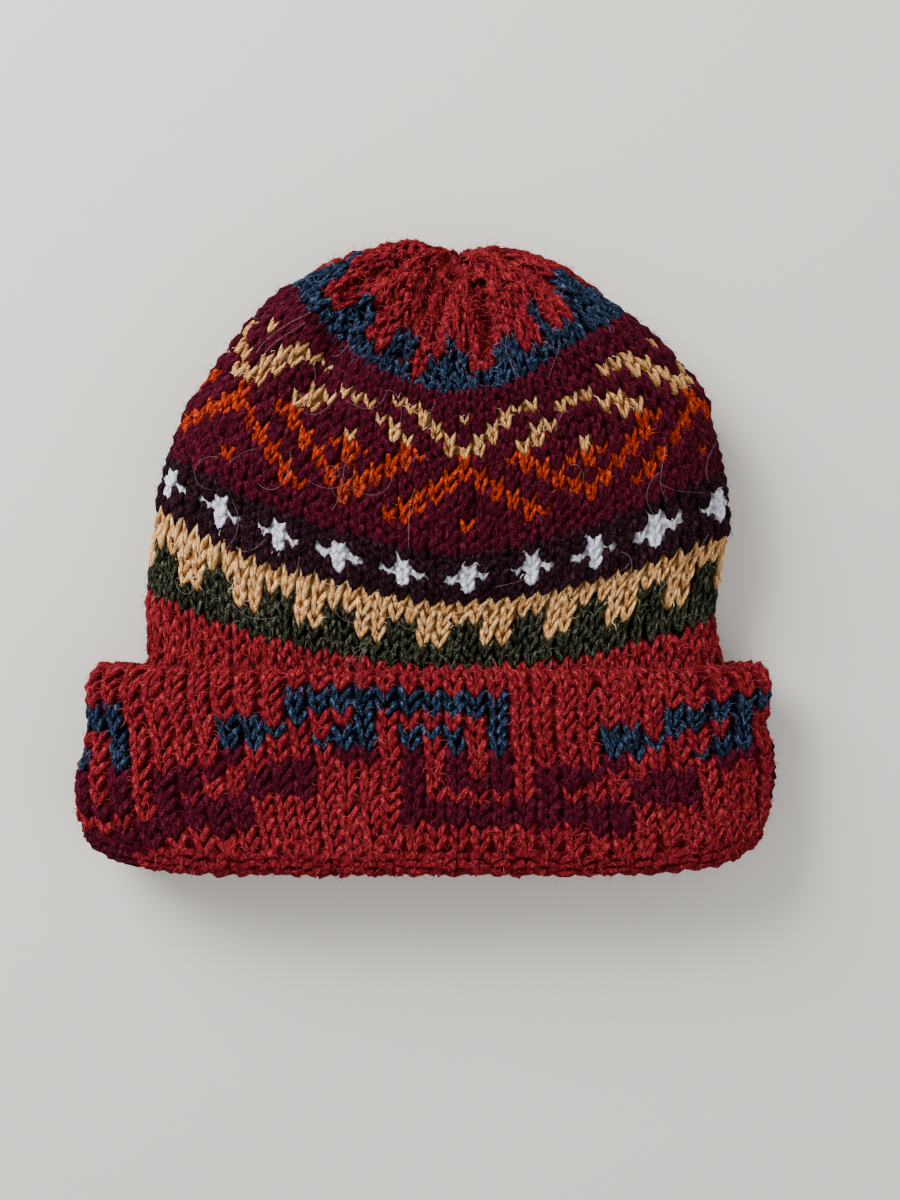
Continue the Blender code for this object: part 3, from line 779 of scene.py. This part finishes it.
def ground_mesh(name, rings, poles, turns, rows, letters, material):
    """The ground's mesh, its yarns' colours and its map, from a turn, row and yarn at each point."""
    mesh = shell_mesh(name, rings, poles)
    colours_with_painted_shade = {}
    for letter, (yarn, middle, light, dark) in YARNS.items():
        # The yarn's colour with painted shade, dark where the ground lies open between stitches
        colours_with_painted_shade[letter] = np.array(linear(middle)) * mix(OPEN_PAINTED_SHADE, FELTED_PAINTED_SHADE, FINISHES[letter][1])
    layer = mesh.color_attributes.new("ground", "FLOAT_COLOR", "POINT")
    layer.data.foreach_set("color", np.array([colours_with_painted_shade[letter] for letter in letters]).ravel())
    set_uv(mesh, turns, rows)
    mesh.materials.append(material)
    return mesh


def crown_letters(turns, rows):
    """The yarn that shows at each turn and row of the crown."""
    letters = []
    for turn, row in zip(turns - crown_lean(turns, rows), rows - crown_sag(turns, rows)):
        count = stitches_in(int(row))
        stitch = int(np.floor(turn * count - CHART_OFFSET * count / CROWN_STITCHES + 0.5))
        letters.append(crown_yarn(int(row), stitch))
    return letters


INNER_START = 2.4             # the first row of the crown's inner face, below its own pole
POLE_DEPTHS = (0.0015, 0.0085)              # of the two poles behind the gather's
inside = crown_stations >= INNER_START
outer = crown_skin["points"][::2, ::2]
inner = (crown_skin["points"] - WALL * crown_skin["normals"])[inside][::-1][::4, ::2]
columns = outer.shape[1]
ground_rows = np.concatenate((crown_stations[::2], crown_stations[inside][::-1][::4]))
turns = np.concatenate((np.tile(np.arange(columns) / columns, len(ground_rows)), (0.0, 0.0)))
rows = np.concatenate((np.repeat(ground_rows, columns), (0.0, 2.0)))
letters = crown_letters(turns, rows)
ground_rings = np.concatenate((sunk(outer, crown_skin["normals"][::2, ::2], letters), inner))
pole, inner_pole = [(CROWN_OFFSET + POLE_OFFSET, rim_y + POLE_LINE - depth, POLE_HEIGHT)
                    for depth in POLE_DEPTHS]
ends = ((pole, 0, False), (inner_pole, (len(ground_rings) - 1) * columns, True))
crown_ground = ground_mesh("crown_ground", ground_rings, ends, turns, rows / LOWEST_ROW, letters,
                           ground_material("knit_reverse", LOWEST_ROW, CROWN_STITCHES))
crown_base = place_piece("crown_ground", crown_ground)
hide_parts("crown")


# The crown's stitches
# Plain knitting in the round: columns of V's that point to the mouth, and narrow towards the gather.
# Each yarn's stitches are one piece, laid flat as on the chart and then wrapped round the crown.
STITCH_SINK = 0.0019          # the yarn lies this far below the fabric's outer face
LUMPS = 0.00014               # how uneven the hand-spun strand is
WANDER = (0.035, 0.06, 0.08)  # of a stitch, in shares of its width, row height and yarn radius
knitted = []                  # each piece of stitches with its yarn and slot


def lay_stitches(name, tree, skin, cells, sizes, stitches_round, yarn, slot, seed):
    """One yarn's stitches: cells are (turn, row, widening, thickness) at each stitch's lower middle."""
    width, height, radius, unevenness = sizes
    cells = np.array(cells)
    points = np.stack((cells[:, 0] * stitches_round * width, -cells[:, 1] * height,
                       np.zeros(len(cells))), axis=1)
    wander = np.random.default_rng(seed).normal(0.0, 1.0, points.shape)
    points += wander * np.multiply(WANDER, (width, height, radius))
    mesh = grow(tree, points, {"widening": cells[:, 2], "thickness": cells[:, 3]},
                {"Stitch width": width, "Row height": height, "Yarn radius": radius,
                 "Unevenness": unevenness, "Seed": seed, "Yarn": yarns[yarn]})
    flat = points_of(mesh)
    flat += np.random.default_rng(seed + 1).normal(0.0, LUMPS, flat.shape)
    wrapped = lay_on(skin, flat[:, 0] / (stitches_round * width), -flat[:, 1] / height,
                     flat[:, 2] - STITCH_SINK)
    move_points(mesh, kept_above(wrapped, 0.0))
    knitted.append((place_piece(name, mesh), yarn, slot))


YARN_RADIUS = {"r": 0.00126, "b": 0.00106, "m": 0.00160, "o": 0.00115, "g": 0.00100, "p": 0.00160,
               "w": 0.00114, "y": 0.00100, "n": 0.00100}
UNEVENNESS = {"r": 1.2, "b": 1.2}           # of the other yarns 1.0
GATHER_UNEVENNESS = 1.9
STAR_ARM = 0.7                # the side stitches of a star are this thick, beside its middle
crown_cells = {}
for row in range(CROWN_LAST_STITCH_ROW + 1):
    count = stitches_in(row)
    widening = CROWN_STITCHES / count
    for stitch in range(count):
        letter = crown_yarn(row, stitch)
        turn = (stitch + CHART_OFFSET / widening) / count
        turn += float(crown_lean(turn, row))
        area = "top" if row < CHART_ROW else "body"
        thickness = STAR_ARM if letter == "w" and stitch % 4 else 1.0
        place = row + 1.0 + float(crown_sag(turn, row))
        crown_cells.setdefault((letter, area), []).append((turn, place, widening, thickness))

# A wisp of the white strand has slipped through the plum
crown_cells["w", "body"].append((0.083, 27.9, 0.5, 0.45))
for seed, ((letter, area), cells) in enumerate(sorted(crown_cells.items())):
    name = "crown_" + area + "_" + YARNS[letter][0]
    unevenness = GATHER_UNEVENNESS if area == "top" else UNEVENNESS.get(letter, 1.0)
    sizes = (*BODY_STITCH, YARN_RADIUS[letter], unevenness)
    lay_stitches(name, knit_tree, crown_skin, cells, sizes, CROWN_STITCHES, letter, "crown_knit", 3 * seed)


# The cuff's fabric
# The lower part of the same tube, turned up once outside over the crown.
# It flares at both ends, its rim is a round fold of the knitting, and its cast-on edge is on top.
CUFF_HEIGHT = 0.0740
CUFF_STITCHES = 68
CUFF_ROWS = 17                # chart rows from the cast-on edge to the rim
CUFF_STITCH = (0.0080, 0.00430)

# Down the cuff: the place, the left and right half widths as shares, and how far its front puffs up, in walls
CUFF_SIDES = np.array((
    (0.00, 0.930, 0.962, 0.20),
    (0.07, 0.956, 0.990, 0.26),
    (0.15, 0.972, 0.997, 0.24),
    (0.33, 0.969, 0.982, 0.10),
    (0.48, 0.977, 0.995, 0.02),
    (0.62, 0.996, 1.000, 0.00),
    (0.74, 1.000, 0.995, 0.00),
    (0.85, 0.996, 0.992, 0.00),
    (0.93, 0.990, 0.984, 0.00),
    (1.00, *RIM_WIDTHS, 0.00),
))
EDGE_SAG = 0.0018             # how far the middle of the cast-on edge hangs
FACE_ROWS = 14.9              # rows from the cast-on edge down to where the fabric starts to turn
TURN_ROWS = 3.7               # rows in the turn at the rim
EDGE_ROWS = 1.7               # rows in the rounded cast-on edge
EDGE_SHARE = 0.032            # share of the cuff's height that the rounded edge takes
INSIDE_ROWS = 7               # rows that show inside the mouth


def cuff_ring(down, inset, past_end, count):
    """A ring of the cuff at a depth below its outer face, moved on past the turn's line."""
    left, right, lift = values_at(CUFF_SIDES, down)
    y = mix(CUFF_HEIGHT, TURN_RADIUS + CORNER_RISE, down) - past_end
    ends = [(side * (CUFF_HALF_WIDTH * share - inset), y) for side, share in ((-1, left), (1, right))]
    middle = mix(CUFF_HEIGHT - EDGE_SAG, TURN_RADIUS, down) - past_end
    bend = mix(2.0, 8.0, down)
    points = flattened_ring(ends[0], ends[1], (middle, CUFF_LOFT + lift * WALL - inset),
                            (middle, inset - FLOOR_PRESS), bend, count)
    return kept_above(points, inset)


cuff_stations = []
cuff_rings = []
for row in np.arange(-EDGE_ROWS, FACE_ROWS + TURN_ROWS + 0.01, 0.2):
    edge = np.pi * max(-row, 0) / EDGE_ROWS
    turned = np.pi * max(row - FACE_ROWS, 0) / TURN_ROWS
    inset = WALL / 2 * (1 - np.cos(edge)) + TURN_RADIUS * (1 - np.cos(turned))
    past_end = TURN_RADIUS * np.sin(turned) - WALL / 2 * np.sin(edge)
    down = mix(EDGE_SHARE, 1.0, np.clip(row / FACE_ROWS, 0, 1))
    cuff_rings.append(cuff_ring(down, inset, past_end, RING_POINTS))
    cuff_stations.append(row)
for row in range(1, INSIDE_ROWS + 1):
    near = np.array([crown_ring(LOWEST_ROW - row + step) for step in (-0.5, 0.0, 0.5)])
    cuff_rings.append(near[1] - WALL * outward_of(near)[1])
    cuff_stations.append(FACE_ROWS + TURN_ROWS + row)
cuff_skin = make_skin(cuff_rings, cuff_stations)
lowest_cuff_row = FACE_ROWS + TURN_ROWS
cuff_face = cuff_skin["rows"] <= lowest_cuff_row + 0.05

# How the knitting hangs at each place around: the turn, the rows by which the chart's rows 4 and 12
# lie below level, the stitches by which a column leans to the right on its way down and lies right of level
CUFF_HANG = np.array((
    (-0.260, 3.4, 4.6, 2.0, -0.6), (-0.215, 3.2, 4.4, 2.0, -0.6), (-0.190, 2.2, 2.8, 2.0, -0.5),
    (-0.165, 1.2, 1.0, 2.0, -0.4), (-0.129, 0.7, -0.2, 1.9, -0.3), (-0.083, 0.2, -0.1, 1.3, -0.1),
    (-0.008, 0.4, 0.2, 0.6, -0.1), (0.048, 0.8, 0.4, 0.6, -0.1), (0.122, 1.3, 0.2, 0.75, 0.16),
    (0.168, 1.7, 0.6, 1.2, 0.25), (0.183, 1.9, 0.8, 1.2, 0.3), (0.212, 1.3, 0.8, 0.3, 0.5),
    (0.227, 1.1, 0.6, 0.2, 0.6), (0.260, 0.9, 0.4, 0.0, 0.6), (0.400, 0.0, 0.0, 0.0, 0.0),
    (0.640, 0.0, 0.0, 0.0, 0.0),
))
CHART_RISE = 1.65             # rows by which the chart starts above the face's first row


def cuff_hang(turns):
    """The four values of the hang at each place around."""
    return [np.interp(turns, CUFF_HANG[:, 0], values, period=1.0) for values in CUFF_HANG.T[1:]]


def cuff_sag(turns, rows):
    """The rows by which the knitting lies below level."""
    upper, lower, lean, shift = cuff_hang(turns)
    return mix(upper, lower, (rows - 4) / 8) - CHART_RISE


def cuff_lean(turns, rows):
    """The turns by which a stitch lies to the right of its column's line."""
    upper, lower, lean, shift = cuff_hang(turns)
    return (lean * (rows - 7) / 14 + shift) / CUFF_STITCHES


# The cuff's chart: one repeat of blue and maroon figures on red, four times round the hat
CUFF_CHART = (
    ".................",
    ".................",
    "bbbbb.......bbbbb",
    "bbbbb.......bbbbb",
    "....b....bb.b..b.",
    "bbb.b....bbb..bb.",
    "b.b.b....bb..bbb.",
    "m.m.m....m....mm.",
    "m.m.m.mmm..mm....",
    "m.mmm.mm..mmm....",
    "m.....m...mmm....",
    "mmmmmmmmmm.......",
    "mmmmmmmmmm.......",
    "........mm.......",
    ".................",
    ".................",
)
CUFF_OFFSET = -0.56           # stitches from the middle of the front to the chart's first


def cuff_yarn(row, stitch):
    """The yarn of a stitch of the cuff."""
    repeat = CUFF_CHART[min(max(row, 0), len(CUFF_CHART) - 1)]
    return repeat[stitch % len(repeat)].replace(".", "r")


# The cuff's ground and stitches
# Its front shows the same V's as the crown, on wider stitches, down to the rim.
# From there into the mouth the reverse shows, rows of purl bumps that lock into each other.
BACK_DEPTH = WALL + 0.0010    # the cuff's back meets the stitches of the crown inside it
RIDGE_ROW = 14.8              # the first row of purl bumps, just before the turn
RIDGE_PITCH = 0.76            # rows from one line of bumps to the next
PURL_UNEVENNESS = 1.9
CUFF_PLUMPNESS = 1.15         # of the strands, beside the crown's
PURL_PLUMPNESS = 1.45
inner_stations = np.linspace(1.0, EDGE_SHARE, 30)
columns = RING_POINTS // 2
face = cuff_skin["points"][cuff_face][::2, ::2]
back = np.array([cuff_ring(down, BACK_DEPTH, 0.0, columns) for down in inner_stations])
back[:, :, 1] += rim_y
turns = np.tile(np.arange(columns) / columns, len(face) + len(back))
ground_rows = np.concatenate((cuff_skin["rows"][cuff_face][::2], inner_stations * FACE_ROWS))
rows = np.repeat(ground_rows, columns)
letters = []
for turn, row in zip(turns - cuff_lean(turns, rows), rows - cuff_sag(turns, rows)):
    letters.append(cuff_yarn(int(row), int(np.floor(turn * CUFF_STITCHES - CUFF_OFFSET + 0.5))))
ground_rings = np.concatenate((sunk(face, cuff_skin["normals"][cuff_face][::2, ::2], letters), back))
cuff_ground = ground_mesh("cuff_ground", ground_rings, (), turns, rows / FACE_ROWS, letters,
                          ground_material("cuff_knit_reverse", FACE_ROWS, CUFF_STITCHES))
cuff_base = place_piece("cuff_ground", cuff_ground)
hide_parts("cuff")

purl_tree = loop_tree(
    "purl_stitches",
    sideways=((0.0, 0.0), (0.35, 0.20), (0.7, 0.42), (1.0, 0.56)),
    upwards=((0.0, 0.62), (0.4, 0.56), (0.75, 0.30), (1.0, 0.0)),
    outwards=((0.0, 0.10), (0.4, 0.0), (0.75, -0.3), (1.0, -1.1)),
    plumpness=((0.0, 1.0), (0.5, 1.0), (1.0, 0.7)))

cuff_cells = {}
for row in range(-2, CUFF_ROWS):
    for stitch in range(CUFF_STITCHES):
        letter = cuff_yarn(row, stitch)
        column = (stitch + CUFF_OFFSET) / CUFF_STITCHES
        turn = column + float(cuff_lean(column, row))
        place = row + 1.0 + float(cuff_sag(column, row))
        if -1.3 < place < RIDGE_ROW - 0.4:                # from the cast-on edge to the purl bumps
            cuff_cells.setdefault(letter, []).append((turn, place, 1.0, 1.0))
for seed, (letter, cells) in enumerate(sorted(cuff_cells.items())):
    sizes = (*CUFF_STITCH, YARN_RADIUS[letter] * CUFF_PLUMPNESS, 1.0)
    lay_stitches("cuff_" + YARNS[letter][0], knit_tree, cuff_skin, cells, sizes, CUFF_STITCHES, letter,
                 "cuff_knit", 100 + 30 * seed)
ridges = {}
for row in np.arange(RIDGE_ROW, lowest_cuff_row + INSIDE_ROWS - 0.2, RIDGE_PITCH):
    for stitch in range(CUFF_STITCHES):
        column = (stitch + CUFF_OFFSET) / CUFF_STITCHES
        letter = cuff_yarn(int(row - float(cuff_sag(column, row))), stitch)
        ridges.setdefault(letter, []).append((column + float(cuff_lean(column, 14)), row, 1.0, 1.0))
for seed, (letter, cells) in enumerate(sorted(ridges.items())):
    sizes = (*CUFF_STITCH, YARN_RADIUS["r"] * PURL_PLUMPNESS, PURL_UNEVENNESS)
    lay_stitches("mouth_purl_" + YARNS[letter][0], purl_tree, cuff_skin, cells, sizes, CUFF_STITCHES,
                 letter, "cuff_knit", 300 + 30 * seed)


# The stray fibres
# Alpaca and wool shed a halo of fine fibres, brushed up by wear, that blurs every stitch and edge.
# They are drawn about three times as thick as real ones, so that they show.
def fibre_tree():
    """Short bent fibres that stand on the crests of a piece's yarn."""
    tree = new_tree("stray_fibres", (("Density", "Float"), ("Length", "Float"), ("Thickness", "Float"),
                                     ("Lift", "Float"), ("Seed", "Int"), ("Yarn", "Material")))
    given = add(tree, "NodeGroupInput").outputs
    end = add(tree, "ShaderNodeCombineXYZ", {0: given["Length"]})
    line = add(tree, "GeometryNodeCurvePrimitiveLine", {"End": end})
    line = add(tree, "GeometryNodeResampleCurve", {"Curve": line, "Count": 3})
    along = add(tree, "GeometryNodeSplineParameter").outputs["Factor"]
    bends = []
    for points in (((0.0, 0.0), (0.5, 0.10), (1.0, -0.12)), ((0.0, 0.0), (0.5, 0.20), (1.0, 0.02))):
        bend = add(tree, "ShaderNodeFloatCurve", {"Factor": 1.0, "Value": along}, curve=points)
        bends.append(add(tree, "ShaderNodeMath", {0: bend, 1: given["Length"]}, operation="MULTIPLY"))
    offset = add(tree, "ShaderNodeCombineXYZ", {1: bends[0], 2: bends[1]})
    line = add(tree, "GeometryNodeSetPosition", {"Geometry": line, "Offset": offset})
    circle = add(tree, "GeometryNodeCurvePrimitiveCircle", {"Resolution": 3, "Radius": 0.5})
    taper = add(tree, "ShaderNodeFloatCurve", {"Factor": 1.0, "Value": along},
                curve=((0.0, 1.0), (0.6, 0.85), (1.0, 0.35)))
    taper = add(tree, "ShaderNodeMath", {0: taper, 1: given["Thickness"]}, operation="MULTIPLY")
    fibre = add(tree, "GeometryNodeCurveToMesh", {"Curve": line, "Profile Curve": circle,
                                                  "Scale": taper})
    crest = add(tree, "GeometryNodeInputNamedAttribute", {"Name": "crest"}, data_type="FLOAT")
    raised = add(tree, "FunctionNodeCompare", {0: crest, 1: 0.3}, operation="GREATER_THAN")

    # Fewer on the lower half of the hat, where few would show
    height = add(tree, "ShaderNodeSeparateXYZ", {0: add(tree, "GeometryNodeInputPosition")})
    share = add(tree, "ShaderNodeMapRange", {"Value": height.outputs[2], 1: 0.008, 2: 0.020, 3: 0.4, 4: 1.0})
    density = add(tree, "ShaderNodeMath", {0: share, 1: given["Density"]}, operation="MULTIPLY")
    roots = add(tree, "GeometryNodeDistributePointsOnFaces",
                {"Mesh": given["Geometry"], "Selection": raised, "Density": density,
                 "Seed": given["Seed"]})
    spread = add(tree, "FunctionNodeRandomValue", {0: (-1.0, -1.0, -1.0), 1: (1.0, 1.0, 1.0),
                                                   "Seed": given["Seed"]}, data_type="FLOAT_VECTOR")
    lift = add(tree, "ShaderNodeVectorMath", {0: roots.outputs["Normal"], 3: given["Lift"]},
               operation="SCALE")
    aim = add(tree, "ShaderNodeVectorMath", {0: spread, 1: lift}, operation="ADD")
    turned = add(tree, "FunctionNodeAlignRotationToVector", {"Vector": aim}, axis="X")
    size = add(tree, "FunctionNodeRandomValue", {2: 0.45, 3: 1.5, "Seed": given["Seed"]},
               data_type="FLOAT")
    fibres = add(tree, "GeometryNodeInstanceOnPoints",
                 {"Points": roots.outputs["Points"], "Instance": fibre,
                  "Rotation": turned, "Scale": size.outputs[1]})
    shade = add(tree, "FunctionNodeRandomValue", {"Seed": given["Seed"]}, data_type="FLOAT")
    fibres = add(tree, "GeometryNodeStoreNamedAttribute",
                 {"Geometry": fibres, "Name": "shade", "Value": shade.outputs[1]},
                 data_type="FLOAT", domain="INSTANCE")
    whole = add(tree, "GeometryNodeRealizeInstances", {0: fibres})
    return end_tree(tree, whole, given["Yarn"])


def fibre_material(name, middle, light):
    """A single loose fibre of the yarn, matt and a little paler than the strand."""
    material, tree, shader = new_material(name, 0.8)
    shade = add(tree, "ShaderNodeAttribute", attribute_name="shade").outputs["Fac"]
    colour = add(tree, "ShaderNodeMix", {0: shade, 6: linear(middle), 7: linear(light)}, data_type="RGBA")
    tree.links.new(colour.outputs[2], shader.inputs["Base Color"])
    return material


# Each yarn's fibres on a square metre of crests, their length, thickness and lift
FIBRES = {
    "r": (230000, 0.0023, 0.00014, 0.90),
    "b": (140000, 0.0024, 0.00012, 0.30),
    "m": (180000, 0.0020, 0.00015, 0.70),
    "o": (100000, 0.0019, 0.00015, 0.40),
    "g": (70000, 0.0021, 0.00014, 0.40),
    "p": (170000, 0.0020, 0.00014, 0.70),
    "w": (70000, 0.0020, 0.00014, 0.35),
    "y": (80000, 0.0021, 0.00014, 0.40),
    "n": (100000, 0.0028, 0.00014, 0.30),
}
fibres = fibre_tree()
for seed, (piece, letter, slot) in enumerate(knitted):
    density, length, thickness, lift = FIBRES[letter]
    if piece.name.startswith("mouth"):
        density = density / 2
    name, middle, light, dark = YARNS[letter]
    loose = bpy.data.materials.get(name + "_fibre") or fibre_material(name + "_fibre", middle, light)
    mesh = grow(fibres, piece.data.copy(), {}, {"Density": density, "Length": length, "Thickness": thickness,
                                                "Lift": lift, "Seed": 500 + seed, "Yarn": loose})
    move_points(mesh, kept_above(points_of(mesh), 0.0))
    place_piece(piece.name + "_fibres", mesh)


# The long hairs
# A few coarse hairs have worked loose from the spun yarn and lie in curls over the darker bands.
# They are thin and pale, and each is one to two and a half centimetres long.
HAIRS = 75
HAIR_POINTS = 10
HAIR_RADIUS = 0.000035


def hair_tree():
    """Thin tubes along the edges of a mesh."""
    tree = new_tree("long_hairs", (("Radius", "Float"), ("Yarn", "Material")))
    given = add(tree, "NodeGroupInput").outputs
    lines = add(tree, "GeometryNodeMeshToCurve", {"Mesh": given["Geometry"]})
    circle = add(tree, "GeometryNodeCurvePrimitiveCircle", {"Resolution": 3, "Radius": 1.0})
    tubes = add(tree, "GeometryNodeCurveToMesh", {"Curve": lines, "Profile Curve": circle,
                                                  "Scale": given["Radius"]})
    whole = add(tree, "GeometryNodeRealizeInstances", {0: tubes})
    return end_tree(tree, whole, given["Yarn"])


draw = np.random.default_rng(77)
girth = CROWN_STITCHES * BODY_STITCH[0]
steps = np.arange(HAIR_POINTS)
hair_points = []
hair_edges = []
for hair in range(HAIRS):
    step = draw.uniform(0.0010, 0.0026)
    bend = draw.uniform(-0.20, 0.20) + draw.uniform(-0.05, 0.05) * steps
    heading = draw.uniform(0.0, 2 * np.pi) + np.cumsum(bend)
    across = draw.uniform() * girth + np.cumsum(step * np.cos(heading))
    down = draw.uniform(13.0, 38.0) + np.cumsum(step * np.sin(heading)) / BODY_STITCH[1]
    rise = 0.0010 + 0.0012 * np.sin(np.pi * steps / (HAIR_POINTS - 1)) * draw.uniform()
    laid = lay_on(crown_skin, across / girth, down, rise)
    first = len(hair_points)
    hair_points.extend(kept_above(laid, ABOVE_FLOOR).tolist())
    hair_edges.extend((first + i, first + i + 1) for i in range(HAIR_POINTS - 1))
hair_lines = bpy.data.meshes.new("hair_lines")
hair_lines.from_pydata(hair_points, hair_edges, [])
guard_hair = fibre_material("guard_hair", "#9C828A", "#C0B0B4")
hairs = grow(hair_tree(), hair_lines, {}, {"Radius": HAIR_RADIUS, "Yarn": guard_hair})
place_piece("long_hairs", hairs)


# The floor, the light and the camera
# A plain pale surface and soft light from the upper left, seen from straight above.
floor_material, floor_nodes, floor_shader = new_material("pale_floor", 0.9, gloss=0.5)
floor_shader.inputs["Base Color"].default_value = linear("#CDC7BE")
floor_mesh = bpy.data.meshes.new("floor")
floor_mesh.from_pydata([(-3, -3, 0), (3, -3, 0), (3, 3, 0), (-3, 3, 0)], [], [(0, 1, 2, 3)])
floor_mesh.materials.append(floor_material)
floor = bpy.data.objects.new("floor", floor_mesh)
bpy.context.scene.collection.objects.link(floor)
floor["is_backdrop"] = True


hat_middle = Vector((0.0, 0.0, 0.02))
for name, place, size, power in (("window", (-0.75, 0.75, 0.75), 0.7, 38.0),
                                 ("fill", (0.9, -0.4, 1.0), 1.2, 6.0)):
    lamp = bpy.data.lights.new(name, "AREA")
    lamp.size = size
    lamp.energy = power
    holder = bpy.data.objects.new(name, lamp)
    bpy.context.scene.collection.objects.link(holder)
    holder.location = place
    holder.rotation_euler = (Vector(place) - hat_middle).to_track_quat("Z", "Y").to_euler()

world = bpy.data.worlds.new("studio")
world.use_nodes = True
world.node_tree.nodes["Background"].inputs["Color"].default_value = (0.95, 0.97, 1.0, 1.0)
world.node_tree.nodes["Background"].inputs["Strength"].default_value = 0.9
bpy.context.scene.world = world

camera_data = bpy.data.cameras.new("camera")
camera_data.lens = 50.0
camera_data.sensor_width = 36.0
camera_data.clip_start = 0.01
camera = bpy.data.objects.new("camera", camera_data)
bpy.context.scene.collection.objects.link(camera)
camera.location = (0.0092, -0.0153, 0.6168)
bpy.context.scene.camera = camera

# The size of the dressed hat beside the size of its solids
sizes = {"cad": [list(map(float, corner)) for corner in cad_bounds],
         "visual": [list(map(float, corner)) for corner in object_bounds()]}
